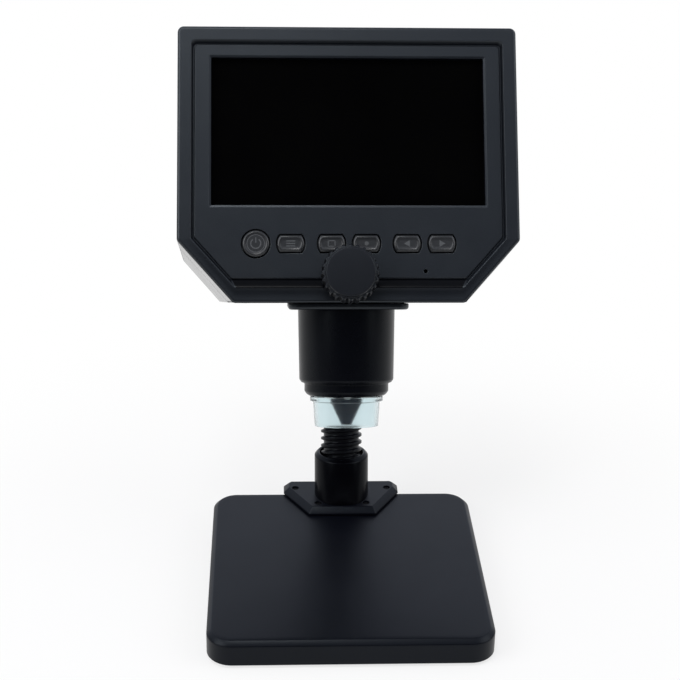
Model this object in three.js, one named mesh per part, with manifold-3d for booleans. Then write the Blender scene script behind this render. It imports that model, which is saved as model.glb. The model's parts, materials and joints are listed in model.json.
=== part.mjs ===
// LCD digital microscope on a leaning threaded column, with a heavy square base.
// Millimetres and degrees, +Z up. The origin is under the middle of the base, on the table,
// and the screen faces -Y. Three turned groups follow each other:
//   column: origin on the rod's axis, just above the foot plate, +Z up the leaning rod
//   head:   origin where the barrel's axis leaves the bottom of the head, +Z up the barrel
//   face:   origin at the middle of the screen side's lower edge, +Y up the face, +Z out of it
import * as THREE from 'three';
import { mergeVertices } from 'three/addons/utils/BufferGeometryUtils.js';
import Module from 'manifold-3d';

const wasm = await Module();
wasm.setup();

// Clearances
const gap = 0.3; // between pieces that touch, slide or turn
const keyGap = 0.4; // round a button
const overrun = 2; // how far a cutter passes the face that it opens

// Base
const baseWidth = 100;
const baseDepth = 100;
const baseTop = 10.3; // height of the specimen face above the table
const baseCorner = 9;
const baseChamfer = 1.2;
const baseWall = 2.2;
const baseRoof = 2.6;
const padThickness = 0.6;
const padInset = 5;
const padCorner = 6;
const coverThickness = 1.8;
const ballastThickness = 3.8;
const ballastInset = 9.5; // from the base's outer sides
const ballastRearInset = 20; // leaves room for the bosses of the foot screws
const ballastCorner = 7;
const coverScrewInset = 9; // screw axes, from the base's outer sides
const coverBossRadius = 2.7;
const screwShank = 1.1;
const screwHead = 2;
const screwHeadHeight = 1;
const coverScrewReach = 4;

// Column foot: a plate with a leaning socket
const lean = 23; // of the rod and the barrel, from upright
const footThickness = 2.8;
const footRear = 5.3; // how far the plate passes the base's back edge, to carry the leaning socket
const footDepth = 23.5;
const footRearWidth = 45.2;
const footRearCorner = 2.2;
const footSideDepth = 4.9; // straight stretch of the plate's sides
const footFrontWidth = 25.7;
const footBevel = 2.1;
const columnRise = 1.1; // column origin above the plate's top
const rodBackset = 45.4; // column origin from the middle of the base
const socketRadius = 10.5;
const socketHeight = 14.9; // to the rim, along the rod's axis
const socketRimSlope = 14; // of the rim, from square
const socketRimChamfer = 1.1;
const socketFoot = 8; // how far the socket goes on below its origin, to be cut off level
const socketFloor = 0.7; // of the blind bore, above the column origin
const footHoleRadius = 1.35;
const footHoleRearInset = 1.9; // rear hole axes, from the base's back edge
const footHoleRearSpacing = 36;
const footHoleFrontInset = 13.3;
const footHoleFrontSpacing = 18.4;
const footBossRadius = 2.3;
const footScrewHead = 1.05;
const footScrewHeadHeight = 1.2;
const footScrewShank = 0.7;
const footScrewRecess = 0.5;
const footScrewReach = 7;

// Threaded rod
const rodCrest = 8;
const rodRoot = 6.9;
const rodPitch = 2.8;
const rodLength = 124;
const rodPlainLength = 8; // below the thread, inside the socket
const crestShare = 0.28; // of the pitch that is crest
const rootShare = 0.32; // of the pitch that is root
const threadSteps = 12; // facets round one turn
const capRadius = 9.3;
const capHeight = 9;
const capDepth = 6; // how far the cap goes over the rod

// Height nut and holder arm
const headLevel = 73.9; // bottom of the head above the column origin, along the rod's axis
const armReach = 42.3; // from the rod's axis to the barrel's
const nutRadius = 14.6;
const nutHeight = 12;
const nutRidges = 24;
const nutRidgeHeight = 0.6;
const threadClearance = 0.5;
const sleeveRadius = 12;
const sleeveHeight = 22;
const sleeveDrop = 11.9; // sleeve's lower end, below the bottom of the head
const holderThickness = 2.2;
const holderWidth = 42.8;
const holderFront = 20.4; // holder plate's edges, from the barrel's axis
const holderRear = 18.5;
const holderCorner = 4;
const bushWall = 0.9;
const ribThickness = 3;
const ribSpacing = 15;

// Head
const headWidth = 120.8;
const faceHeight = 99.6;
const wedge = 9; // of the face, from the barrel's axis
const faceAhead = 25.4; // face's lower edge, in front of the barrel's axis
const backBehind = 20.5; // back of the head, behind the barrel's axis
const chinWidth = 81.1; // of the lower edge, between the cut-off corners
const cheekWidth = (headWidth - chinWidth) / 2;
const cheekHeight = 22.3;
const topCorner = 2.2;
const cheekCorner = 2;
const faceChamfer = 0.9;
const backChamfer = 1.2;
const headWall = 2.2;
const bezelDepth = 15;
const rimSide = 5.6;
const rimTop = 5.4;
const rimCheek = 4.9;
const chin = 8.5;
const recessDepth = 1.3;
const recessCorner = 1.5;
const panelThickness = 2.2;

// Screen, between the head's sides and top and the row of buttons
const buttonLevel = 21.2; // middle of the buttons, above the face's lower edge
const windowSideMargin = 11.95;
const windowTopMargin = 11.2;
const windowLowMargin = 13.8; // above the buttons' middle
const windowFloor = buttonLevel + windowLowMargin;
const windowWidth = headWidth - 2 * windowSideMargin;
const windowHeight = faceHeight - windowTopMargin - windowFloor;
const windowLevel = windowFloor + windowHeight / 2;
const windowBevel = 1;
const windowBevelDepth = 1.3;
const glassLap = 2;
const glassThickness = 1.1;
const lcdBorder = 4.3; // of the panel, past the window, at its sides
const lcdBorderHeight = 6.9; // at its top and bottom
const lcdWidth = windowWidth + 2 * lcdBorder;
const lcdHeight = windowHeight + 2 * lcdBorderHeight;
const lcdThickness = 3;
const boardThickness = 1.6;
const mainBoardSideMargin = 6.4;
const mainBoardTopMargin = 15.6;
const boardSpacing = 3; // between the key board and the main board
const chipSize = 14;
const chipHeight = 1.2;

// Buttons, from the face's middle
const buttonPlaces = [20.5, 6.15]; // two pairs near the middle; the outer pair is below
const buttonOuterPlace = 32.75;
const buttonRadius = 4.8;
const buttonHalfHeight = 3;
const buttonProud = 0.6;
const buttonTravel = 0.8;
const buttonLipWidth = 1;
const buttonLipThickness = 1.1;
const buttonStemRadius = 1.5;
const switchSize = 5.6;
const switchHeight = 2.3;
const keyBoardHalfWidth = 43.5;
const keyBoardBelow = 2.6; // edges of the key board, from the buttons' middle
const keyBoardAbove = 5.8;
const keyPostPlace = 41.3;
const keyPostRadius = 1.8;
const resetPlace = 26.9;
const resetLevel = 11.4;
const resetRadius = 0.7;

// Focus knob, shaft and pinion
const knobLevel = 9.3;
const knobRadius = 10.1;
const knobRidges = 24;
const knobRidgeHeight = 0.7;
const knobStandOff = 0.8;
const knobLength = 8.4;
const knobCapRadius = 8.7;
const knobCapHeight = 1.4;
const knobEdge = 0.8;
const shaftRadius = 2;
const shaftInKnob = 6;
const shaftBossRadius = 3.6;
const shaftBossLength = 3;
const pinionDepth = 11; // middle of the pinion, behind the face
const pinionThickness = 2;
const pinionTeeth = 8;
const pinionPitchRadius = 3;
const toothAddendum = 0.6;
const toothDedendum = 0.85;
const toothShare = 0.34; // tooth thickness at the pitch line, of the pitch
const tipShare = 0.2;
const rootToothShare = 0.46;

// Lens carrier in its guide tube
const lensTravel = 3.5; // each way
const guideBore = 9.4;
const guideWall = 1.2;
const guideTop = 19;
const guideFlangeThickness = 1.4;
const carrierWall = 1.5;
const carrierBottom = -12;
const carrierTop = 6;
const lensSeatWidth = 1.4;
const lensSeatThickness = 0.9;
const lensSeatLevel = -10.2;
const lensThickness = 3.8;
const lensEdge = 1.6;
const rackThickness = 2.2;
const rackWidth = 2.2; // behind the tooth roots
const rackMargin = 1.2; // past the pinion's reach at each end
const webHeight = 3.2;
const sensorBoardSize = 20;
const sensorSize = 8;
const sensorHeight = 1.4;
const flexWidth = 8;
const flexThickness = 0.4;
const flexRise = 16;

// Barrel, nose and lamp
const barrelTopRadius = 17.7;
const barrelEndRadius = 17.2;
const barrelBore = 16;
const barrelLength = 29.2; // below the head
const barrelChamfer = 1.1;
const flangeRadius = 21;
const flangeThickness = 1.6;
const noseRadius = 15.35;
const noseTipRadius = 13.7;
const noseLength = 3.3;
const noseRounding = 1.5;
const noseSpigotLength = 5.2;
const noseSpigotWall = 1.5;
const noseFloor = 1.6;
const noseFloorBore = 6.8;
const lampRecess = 1.4;
const lampRecessRadius = 12;
const lampBoardThickness = 1;
const lampCount = 8;
const lampRadius = 1.3;
const lampHeight = 1.1;
const lampCircle = 9;
const shroudLength = 10.9;
const shroudFlangeRadius = 13.3;
const shroudFlangeHeight = 1.7;
const shroudTopRadius = 12.1;
const shroudEndRadius = 11.6;
const shroudWall = 1.1;
const hoodRadius = 6.4;
const hoodTipRadius = 1.85;
const hoodWall = 1;
const hoodTipBore = 0.9;
const hoodFlangeRadius = 8;
const hoodFlangeThickness = 0.8;
const hoodSetback = 0.9; // tip, inside the shroud's mouth
const hoodCollar = 1; // straight collar below the lamp board

// Battery, its door, sockets, dimmer and case screws
const batteryWidth = 53.4;
const batteryHeight = 34;
const batteryThickness = 5.7;
const batteryLevel = 55;
const pocketWall = 1.4;
const doorHalfWidth = 28;
const doorFlare = 1.5; // how much wider the door is inside than outside
const doorThickness = 1.6;
const doorBottom = 34;
const doorLandMargin = 3;
const doorLandThickness = 1.8;
const socketOuterInset = 0.8;
const usbWidth = 7.8;
const usbHeight = 2.9;
const usbLength = 8.3;
const usbShare = 0.26; // middle of the socket, up the main board
const cardWidth = 12;
const cardHeight = 1.6;
const cardLength = 13;
const cardShare = 2 / 3; // middle of the slot, up the main board
const socketBoreWall = 0.5;
const dimmerPlace = 26;
const dimmerRadius = 7;
const dimmerThickness = 2.5;
const dimmerProud = 1.5;
const dimmerLevel = 12.6;
const dimmerRidges = 20;
const dimmerRidgeHeight = 0.4;
const dimmerPinRadius = 1;
const potWidth = 9;
const potDepth = 5.6;
const caseScrewSideInset = 4.8; // upper screws, from the head's sides
const caseScrewTopInset = 8.57; // and from the top of the back
const caseScrewChinInset = 2.55; // lower screws, from the ends of the lower edge
const caseScrewLowLevel = 8.5;
const caseBossRadius = 3.4;
const bezelBossRadius = 2.5;
const caseScrewHead = 1.9;
const caseScrewShank = 0.9;
const caseSeatThickness = 3;
const caseScrewReach = 4;

const radians = THREE.MathUtils.degToRad;
const tanWedge = Math.tan(radians(wedge));
const cosWedge = Math.cos(radians(wedge));
const sinWedge = Math.sin(radians(wedge));

// Finishes
const looks = {
  shell: [0x1f2127, 0.55, 0.0],
  base: [0x24262d, 0.6, 0.0],
  trim: [0x15161a, 0.4, 0.0],
  rod: [0x17181c, 0.45, 0.1],
  key: [0x2c2e35, 0.5, 0.0],
  knob: [0x14151a, 0.4, 0.0],
  glass: [0x020203, 0.05, 0.0],
  shroud: [0xc9cdd2, 0.35, 0.0],
  lens: [0xdfe8ee, 0.02, 0.0],
  hood: [0x1b1c20, 0.4, 0.0],
  steel: [0x8d9096, 0.35, 1.0],
  board: [0x1d5b38, 0.6, 0.0],
  rubber: [0x131315, 0.9, 0.0],
  battery: [0xb9bcc2, 0.5, 0.0],
  inner: [0x101114, 0.7, 0.0],
};

// Closed mesh of a geometry's positions, turned so that its faces point out
function solid(geometry) {
  const bare = geometry.clone();
  for (const name of Object.keys(bare.attributes)) {
    if (name !== 'position') bare.deleteAttribute(name);
  }
  const merged = mergeVertices(bare, 1e-5);
  const place = merged.attributes.position.array;
  const index = merged.index.array;
  const faces = [];
  for (let i = 0; i < index.length; i += 3) {
    const [a, b, c] = [index[i], index[i + 1], index[i + 2]];
    if (a !== b && b !== c && c !== a) faces.push(a, b, c);
  }
  let volume = 0;
  for (let i = 0; i < faces.length; i += 3) {
    const [a, b, c] = [0, 1, 2].map((k) => new THREE.Vector3().fromArray(place, 3 * faces[i + k]));
    volume += a.dot(b.cross(c));
  }
  if (volume < 0) faces.reverse();
  return new wasm.Manifold(new wasm.Mesh({
    numProp: 3,
    vertProperties: new Float32Array(place),
    triVerts: new Uint32Array(faces),
  }));
}

// Joins and cuts
const join = (first, ...others) => others.reduce((sum, next) => sum.add(next), first);
const cut = (first, ...others) => others.reduce((rest, next) => rest.subtract(next), first);

// Box between two corners
function block([x0, x1], [y0, y1], [z0, z1]) {
  const geometry = new THREE.BoxGeometry(x1 - x0, y1 - y0, z1 - z0);
  geometry.translate((x0 + x1) / 2, (y0 + y1) / 2, (z0 + z1) / 2);
  return geometry;
}

// Block that tapers along Z between two sizes
function tapered([w0, h0, z0], [w1, h1, z1]) {
  const geometry = new THREE.BoxGeometry(1, 1, 1);
  const place = geometry.attributes.position;
  for (let i = 0; i < place.count; i += 1) {
    const [w, h, z] = place.getZ(i) < 0 ? [w0, h0, z0] : [w1, h1, z1];
    place.setXYZ(i, place.getX(i) * w, place.getY(i) * h, z);
  }
  return geometry;
}

// Round bar along Z, from z0 to z1, with its own radius at each end
function bar(radius, z0, z1, sides = 32, endRadius = radius) {
  const geometry = new THREE.CylinderGeometry(endRadius, radius, z1 - z0, sides);
  geometry.rotateX(Math.PI / 2);
  geometry.translate(0, 0, (z0 + z1) / 2);
  return geometry;
}

// Profile of [radius, z] points turned about Z; a ring's profile closes on itself
function turned(points, sides = 32) {
  const profile = points.map(([r, z]) => new THREE.Vector2(r, z));
  if (points[0][0] > 0 || points.at(-1)[0] > 0) profile.push(profile[0].clone());
  const geometry = new THREE.LatheGeometry(profile, sides);
  geometry.rotateX(Math.PI / 2);
  return geometry;
}

// Shape extruded from z0 to z1, with an optional chamfer at both ends
function prism(shape, z0, z1, chamfer = 0, steps = 4) {
  const geometry = new THREE.ExtrudeGeometry(shape, {
    depth: z1 - z0 - 2 * chamfer,
    curveSegments: steps,
    bevelEnabled: chamfer > 0,
    bevelThickness: chamfer,
    bevelSize: chamfer,
    bevelOffset: -chamfer,
    bevelSegments: 1,
  });
  geometry.translate(0, 0, z0 + chamfer);
  return geometry;
}

// Polygon with each corner rounded to its radius
function rounded(points, radii) {
  const shape = new THREE.Shape();
  const at = points.map(([x, y]) => new THREE.Vector2(x, y));
  at.forEach((corner, i) => {
    const before = at[(i + at.length - 1) % at.length].clone().sub(corner).normalize();
    const after = at[(i + 1) % at.length].clone().sub(corner).normalize();
    const radius = Array.isArray(radii) ? radii[i] : radii;
    const run = radius / Math.tan(before.angleTo(after) / 2);
    const start = corner.clone().addScaledVector(before, run);
    const end = corner.clone().addScaledVector(after, run);
    if (i === 0) shape.moveTo(start.x, start.y);
    else shape.lineTo(start.x, start.y);
    if (radius > 0) shape.quadraticCurveTo(corner.x, corner.y, end.x, end.y);
  });
  shape.closePath();
  return shape;
}

const rectangle = (w, h, corner, x = 0, y = 0) => rounded([
  [x - w / 2, y - h / 2], [x + w / 2, y - h / 2], [x + w / 2, y + h / 2], [x - w / 2, y + h / 2],
], corner);

// Polygon whose sides are moved inwards, each by its own distance
function inset(points, distances) {
  const sides = points.map(([x, y], i) => {
    const [nx, ny] = points[(i + 1) % points.length];
    const length = Math.hypot(nx - x, ny - y);
    const inward = [-(ny - y) / length, (nx - x) / length];
    const offset = inward[0] * x + inward[1] * y + distances[i];
    return { inward, offset };
  });
  return sides.map((side, i) => {
    const last = sides[(i + sides.length - 1) % sides.length];
    const scale = last.inward[0] * side.inward[1] - last.inward[1] * side.inward[0];
    return [
      (last.offset * side.inward[1] - side.offset * last.inward[1]) / scale,
      (last.inward[0] * side.offset - side.inward[0] * last.offset) / scale,
    ];
  });
}

// Gear-like outline with straight ridges
function ridged(radius, ridges, height) {
  const points = [];
  for (let i = 0; i < ridges; i += 1) {
    const turn = (2 * Math.PI * i) / ridges;
    const quarter = Math.PI / ridges / 2;
    for (const [step, r] of [[-1.3, radius - height], [-0.6, radius], [0.6, radius], [1.3, radius - height]]) {
      points.push([r * Math.cos(turn + step * quarter), r * Math.sin(turn + step * quarter)]);
    }
  }
  return rounded(points, 0);
}

// Body of a helical thread along Z, trimmed square at both ends. The flanks run from root to crest
// and back in each pitch, and a facet line goes up one pitch in each turn.
function thread(crest, root, z0, z1) {
  const flankShare = (1 - crestShare - rootShare) / 2;
  const profile = [[0, root], [rootShare, root], [rootShare + flankShare, crest],
    [rootShare + flankShare + crestShare, crest]];
  const first = Math.floor(z0 / rodPitch) - 2;
  const last = Math.ceil(z1 / rodPitch) + 1;
  const rows = [];
  for (let turn = first; turn <= last; turn += 1) {
    for (const [share, radius] of profile) rows.push([(turn + share) * rodPitch, radius]);
  }
  rows.push([(last + 1) * rodPitch, root]);
  const places = [];
  for (let step = 0; step <= threadSteps; step += 1) {
    const angle = (2 * Math.PI * step) / threadSteps;
    for (const [z, radius] of rows) {
      const height = z + (rodPitch * step) / threadSteps;
      places.push(radius * Math.cos(angle), radius * Math.sin(angle), height);
    }
  }
  const low = places.length / 3;
  places.push(0, 0, rows[0][0] - rodPitch, 0, 0, rows.at(-1)[0] + 2 * rodPitch);
  const count = rows.length;
  const faces = [];
  for (let step = 0; step < threadSteps; step += 1) {
    for (let row = 0; row < count - 1; row += 1) {
      const a = step * count + row;
      const b = a + count;
      faces.push(a, b, b + 1, a, b + 1, a + 1);
    }
    faces.push(low, (step + 1) * count, step * count);
    faces.push(low + 1, step * count + count - 1, (step + 1) * count + count - 1);
  }
  const perPitch = profile.length;
  for (let row = 0; row < perPitch; row += 1) {
    faces.push(low, row, row + 1);
    const lastRow = threadSteps * count + count - 1 - row;
    faces.push(low + 1, lastRow, lastRow - 1);
  }
  const geometry = new THREE.BufferGeometry();
  geometry.setAttribute('position', new THREE.Float32BufferAttribute(places, 3));
  geometry.setIndex(faces);
  return solid(geometry).intersect(solid(bar(crest + overrun, z0, z1)));
}

// Screw along Z: its head's top at z, its shank pointing down
function screw(headRadius, headHeight, shankRadius, reach, z) {
  return solid(turned([[0, z], [headRadius, z], [headRadius, z - headHeight],
    [shankRadius, z - headHeight], [shankRadius, z - headHeight - reach], [0, z - headHeight - reach]], 16));
}

// Groups
const microscope = new THREE.Group();
const column = new THREE.Group();
const head = new THREE.Group();
const face = new THREE.Group();
const footTop = baseTop + gap + footThickness;
column.position.set(0, rodBackset, footTop + columnRise);
column.rotation.x = -radians(lean);
head.position.set(0, -armReach, headLevel);
face.position.set(0, -faceAhead, 0);
face.rotation.x = radians(90 - wedge);
microscope.add(column);
column.add(head);
head.add(face);
microscope.updateMatrixWorld(true);

const moved = (geometry, matrix) => geometry.clone().applyMatrix4(matrix);
const inColumn = column.matrix;
const inHead = face.matrix; // takes face places to head places

function piece(name, body, look, group = microscope) {
  const made = body.getMesh();
  const geometry = new THREE.BufferGeometry();
  geometry.setAttribute('position', new THREE.Float32BufferAttribute(made.vertProperties, 3));
  geometry.setIndex([...made.triVerts]);
  geometry.computeVertexNormals();
  const [color, roughness, metalness] = looks[look];
  const material = new THREE.MeshStandardMaterial({ color, roughness, metalness, flatShading: true });
  const mesh = new THREE.Mesh(geometry, material);
  mesh.name = name;
  group.add(mesh);
  return mesh;
}

// Base: a moulded shell over a steel plate, closed by a cover with a pad under it
function makeBase() {
  const shellFloor = padThickness + gap;
  const coverTop = shellFloor + coverThickness;
  const roofUnder = baseTop - baseRoof;
  const outline = rectangle(baseWidth, baseDepth, baseCorner);
  const body = cut(
    solid(prism(outline, shellFloor - baseChamfer, baseTop, baseChamfer)),
    solid(block([-baseWidth, baseWidth], [-baseDepth, baseDepth], [-baseTop, shellFloor])),
  );
  const innerWidth = baseWidth - 2 * baseWall;
  const innerDepth = baseDepth - 2 * baseWall;
  const innerCorner = baseCorner - baseWall;
  const cavity = solid(prism(rectangle(innerWidth, innerDepth, innerCorner), -overrun, roofUnder));

  const screwPlaces = [];
  for (const x of [-1, 1]) {
    for (const y of [-1, 1]) {
      screwPlaces.push([x * (baseWidth / 2 - coverScrewInset), y * (baseDepth / 2 - coverScrewInset)]);
    }
  }
  const footPlaces = footScrewPlaces();
  const bosses = screwPlaces.map(([x, y]) => solid(
    bar(coverBossRadius, coverTop + gap, roofUnder + gap, 16).translate(x, y, 0),
  ));
  const footBossFloor = baseTop - footScrewReach;
  for (const [x, y] of footPlaces) {
    const boss = solid(bar(footBossRadius, footBossFloor, roofUnder + gap, 16).translate(x, y, 0));
    bosses.push(boss.intersect(body));
  }
  const tapHoles = screwPlaces.map(([x, y]) => solid(
    bar(screwShank + gap, coverTop, coverTop + coverScrewReach + gap, 12).translate(x, y, 0),
  ));
  const footTaps = footPlaces.map(([x, y]) => solid(
    bar(footScrewShank + gap, footBossFloor - overrun, baseTop + overrun, 12).translate(x, y, 0),
  ));
  const shell = cut(join(cut(body, cavity), ...bosses), ...tapHoles, ...footTaps);
  piece('base_shell', shell, 'base');

  const coverOutline = rectangle(innerWidth - 2 * gap, innerDepth - 2 * gap, innerCorner - gap);
  const sink = screwHeadHeight + gap;
  const coverHoles = screwPlaces.flatMap(([x, y]) => [
    solid(bar(screwHead + gap, shellFloor - overrun, shellFloor + sink, 16).translate(x, y, 0)),
    solid(bar(screwShank + gap, shellFloor, coverTop + overrun, 12).translate(x, y, 0)),
  ]);
  piece('base_cover', cut(solid(prism(coverOutline, shellFloor, coverTop)), ...coverHoles), 'base');

  screwPlaces.forEach(([x, y], i) => {
    const upright = screw(screwHead, screwHeadHeight, screwShank, coverScrewReach, 0);
    const mesh = piece(`cover_screw_${i + 1}`, upright, 'steel');
    mesh.rotation.x = Math.PI;
    mesh.position.set(x, y, shellFloor);
  });

  const padOutline = rectangle(baseWidth - 2 * padInset, baseDepth - 2 * padInset, padCorner);
  piece('anti_slip_pad', solid(prism(padOutline, 0, padThickness)), 'rubber');

  const ballastDepth = baseDepth - ballastInset - ballastRearInset;
  const ballastMiddle = (ballastInset - ballastRearInset) / 2;
  const ballastOutline = rectangle(baseWidth - 2 * ballastInset, ballastDepth, ballastCorner, 0, ballastMiddle);
  const ballastFloor = coverTop + gap;
  const plate = solid(prism(ballastOutline, ballastFloor, ballastFloor + ballastThickness));
  piece('ballast_plate', plate, 'steel');
}

// Screws of the foot plate: two at the back, two in front of the socket
function footScrewPlaces() {
  const back = baseDepth / 2;
  return [
    [-footHoleRearSpacing / 2, back - footHoleRearInset],
    [footHoleRearSpacing / 2, back - footHoleRearInset],
    [-footHoleFrontSpacing / 2, back - footHoleFrontInset],
    [footHoleFrontSpacing / 2, back - footHoleFrontInset],
  ];
}

// Slopes the part of a form above its origin, so that it rises towards the back
function slopeTop(geometry, slope) {
  const place = geometry.attributes.position;
  for (let i = 0; i < place.count; i += 1) {
    const rise = place.getZ(i) > 0 ? place.getY(i) * Math.tan(radians(slope)) : 0;
    place.setZ(i, place.getZ(i) + rise);
  }
}

// Foot plate with its leaning socket, and the screws that hold it
function makeFoot() {
  const rear = baseDepth / 2 + footRear;
  const outline = rounded([
    [-footFrontWidth / 2, rear - footDepth],
    [footFrontWidth / 2, rear - footDepth],
    [footRearWidth / 2, rear - footRearCorner - footSideDepth],
    [footRearWidth / 2, rear - footRearCorner],
    [footRearWidth / 2 - footRearCorner, rear],
    [-footRearWidth / 2 + footRearCorner, rear],
    [-footRearWidth / 2, rear - footRearCorner],
    [-footRearWidth / 2, rear - footRearCorner - footSideDepth],
  ], 0);
  const plateFloor = baseTop + gap;
  const plate = cut(
    solid(prism(outline, plateFloor - footBevel, footTop, footBevel)),
    solid(block([-baseWidth, baseWidth], [-baseDepth, baseDepth], [-baseTop, plateFloor])),
  );
  const socket = turned([[0, -socketFoot], [socketRadius, -socketFoot],
    [socketRadius, socketHeight - socketRimChamfer], [socketRadius - socketRimChamfer, socketHeight],
    [0, socketHeight]], 36);
  slopeTop(socket, socketRimSlope);
  const tube = cut(
    solid(moved(socket, inColumn)),
    solid(block([-baseWidth, baseWidth], [-baseDepth, baseDepth], [-baseTop, plateFloor])),
  );
  const bore = solid(moved(bar(rodCrest + gap, socketFloor, 3 * socketHeight, 36), inColumn));
  const seat = footTop - footScrewRecess - footScrewHeadHeight - gap;
  const holes = footScrewPlaces().flatMap(([x, y]) => [
    solid(bar(footHoleRadius, seat, footTop + overrun, 16).translate(x, y, 0)),
    solid(bar(footScrewShank + gap, 0, seat + overrun, 12).translate(x, y, 0)),
  ]);
  piece('column_foot', cut(join(plate, tube), bore, ...holes), 'shell');
  footScrewPlaces().forEach(([x, y], i) => {
    const top = footTop - footScrewRecess;
    const reach = footScrewReach - footScrewHeadHeight;
    const body = screw(footScrewHead, footScrewHeadHeight, footScrewShank, reach, 0);
    piece(`foot_screw_${i + 1}`, body, 'trim').position.set(x, y, top);
  });
}

// Rod and its end cap
function makeRod() {
  const floor = socketFloor + gap;
  const body = join(
    solid(bar(rodRoot, floor, rodPlainLength + overrun, 24)),
    thread(rodCrest, rodRoot, rodPlainLength, rodLength),
  );
  piece('threaded_rod', body, 'rod', column);
  const capFloor = rodLength - capDepth;
  const capTop = capFloor + capHeight;
  const cap = cut(
    solid(prism(new THREE.Shape().absarc(0, 0, capRadius, 0, 2 * Math.PI), capFloor - faceChamfer,
      capTop, faceChamfer, 16)),
    solid(bar(capRadius + overrun, capFloor - overrun, capFloor)),
    solid(bar(rodCrest + gap, capFloor - overrun, rodLength + gap)),
  );
  piece('rod_cap', cap, 'trim', column);
}

// Height nut, holder arm and the bush round the barrel
function makeHolder() {
  const sleeveFloor = headLevel - sleeveDrop;
  const nutTop = sleeveFloor - gap;
  const nutFloor = nutTop - nutHeight;
  const nutBody = solid(prism(ridged(nutRadius, nutRidges, nutRidgeHeight), nutFloor, nutTop));
  const tap = thread(rodCrest + threadClearance, rodRoot + threadClearance, nutFloor - overrun, nutTop + overrun);
  piece('height_nut', cut(nutBody, tap), 'knob', column);

  const holderTop = headLevel - gap;
  const holderFloor = holderTop - holderThickness;
  const half = holderWidth / 2;
  const front = -armReach - holderFront;
  const rear = -armReach + holderRear;
  const outline = rounded([
    [-half, front], [half, front], [half, rear], [sleeveRadius, -sleeveRadius / 2],
    [-sleeveRadius, -sleeveRadius / 2], [-half, rear],
  ], [holderCorner, holderCorner, 0, 0, 0, 0]);
  const barrelHole = barrelTopRadius + gap + bushWall + gap;
  const ribs = [-1, 1].map((side) => {
    const x = (side * ribSpacing) / 2;
    return solid(block(
      [x - ribThickness / 2, x + ribThickness / 2],
      [rear, -sleeveRadius / 2],
      [sleeveFloor, holderTop],
    ));
  });
  const arm = cut(
    join(
      solid(prism(outline, holderFloor, holderTop)),
      solid(bar(sleeveRadius, sleeveFloor, sleeveFloor + sleeveHeight, 36)),
      ...ribs,
    ),
    solid(bar(rodCrest + gap, sleeveFloor - overrun, sleeveFloor + sleeveHeight + overrun, 36)),
    solid(bar(barrelHole, holderFloor - overrun, holderTop + overrun, 48).translate(0, -armReach, 0)),
  );
  piece('carriage_arm', arm, 'shell', column);

  const bushBore = barrelTopRadius + gap;
  const bush = turned([
    [bushBore, holderFloor], [bushBore + bushWall, holderFloor],
    [bushBore + bushWall, holderTop], [bushBore, holderTop],
  ], 48);
  piece('holder_bush', solid(bush), 'rubber', column).position.set(0, -armReach, 0);
}

// Corners of the head's outline on its face, from the lower left, and the inset of each side
const halfWidth = headWidth / 2;
const faceOutline = [
  [-halfWidth + cheekWidth, 0], [halfWidth - cheekWidth, 0], [halfWidth, cheekHeight],
  [halfWidth, faceHeight], [-halfWidth, faceHeight], [-halfWidth, cheekHeight],
];
const outlineCorners = [cheekCorner, cheekCorner, cheekCorner, topCorner, topCorner, cheekCorner];

// Everything behind a plane that is parallel to the face, at a depth behind it
function behindFace(depth) {
  const size = 2 * headWidth;
  return solid(moved(block([-size, size], [-size, size], [-size, -depth]), inHead));
}

const onFace = (geometry) => solid(moved(geometry, inHead));
const panelBack = recessDepth + panelThickness;
const glassBack = panelBack + gap + glassThickness;
const lcdBack = glassBack + gap + lcdThickness;
const boardBack = lcdBack + gap + boardThickness;
const mainBoardHalfWidth = halfWidth - mainBoardSideMargin;
const mainBoardLow = buttonLevel + keyBoardAbove + boardSpacing;
const mainBoardHigh = faceHeight - mainBoardTopMargin;
const headReach = faceAhead + backBehind;
const headTop = faceHeight * cosWedge;

// Height of a point of the outline where its straight side meets the head's back plane
const heightAtBack = (up) => (up - headReach * sinWedge) / cosWedge;
const backTop = heightAtBack(faceHeight);

const upperScrew = [halfWidth - caseScrewSideInset, backTop - caseScrewTopInset];
const lowerScrew = [chinWidth / 2 - caseScrewChinInset, caseScrewLowLevel];
const caseScrewPlaces = [upperScrew, lowerScrew].flatMap(([x, level]) => [[-x, level], [x, level]]);

// Y in the head of the plane at a depth behind the face, at a height above the head's bottom
function planeAt(depth, level) {
  return -faceAhead + depth * cosWedge + (level + depth * sinWedge) * tanWedge;
}

// Bar along the head's Y between two places, at x and level
function backBar(radius, x, level, y0, y1, sides = 16) {
  return solid(bar(radius, -y1, -y0, sides).rotateX(Math.PI / 2).translate(x, 0, level));
}

// Button outline: round, or a circle with its top and bottom cut straight
function buttonOutline(radius, halfHeight) {
  const shape = new THREE.Shape();
  if (halfHeight >= radius) return shape.absarc(0, 0, radius, 0, 2 * Math.PI);
  const angle = Math.asin(halfHeight / radius);
  shape.absarc(0, 0, radius, -angle, angle);
  shape.absarc(0, 0, radius, Math.PI - angle, Math.PI + angle);
  shape.closePath();
  return shape;
}

// The curve steps of a round outline go all the way round, and of a cut one over each of two arcs
const arcSteps = (halfHeight) => (halfHeight >= buttonRadius ? 12 : 4);

// The power button is round and stands at the left; the other five are cut straight
const buttons = [
  { name: 'power_button', x: -buttonOuterPlace, halfHeight: buttonRadius },
  { name: 'key_1', x: -buttonPlaces[0], halfHeight: buttonHalfHeight },
  { name: 'key_2', x: -buttonPlaces[1], halfHeight: buttonHalfHeight },
  { name: 'key_3', x: buttonPlaces[1], halfHeight: buttonHalfHeight },
  { name: 'key_4', x: buttonPlaces[0], halfHeight: buttonHalfHeight },
  { name: 'key_5', x: buttonOuterPlace, halfHeight: buttonHalfHeight },
];

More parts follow.
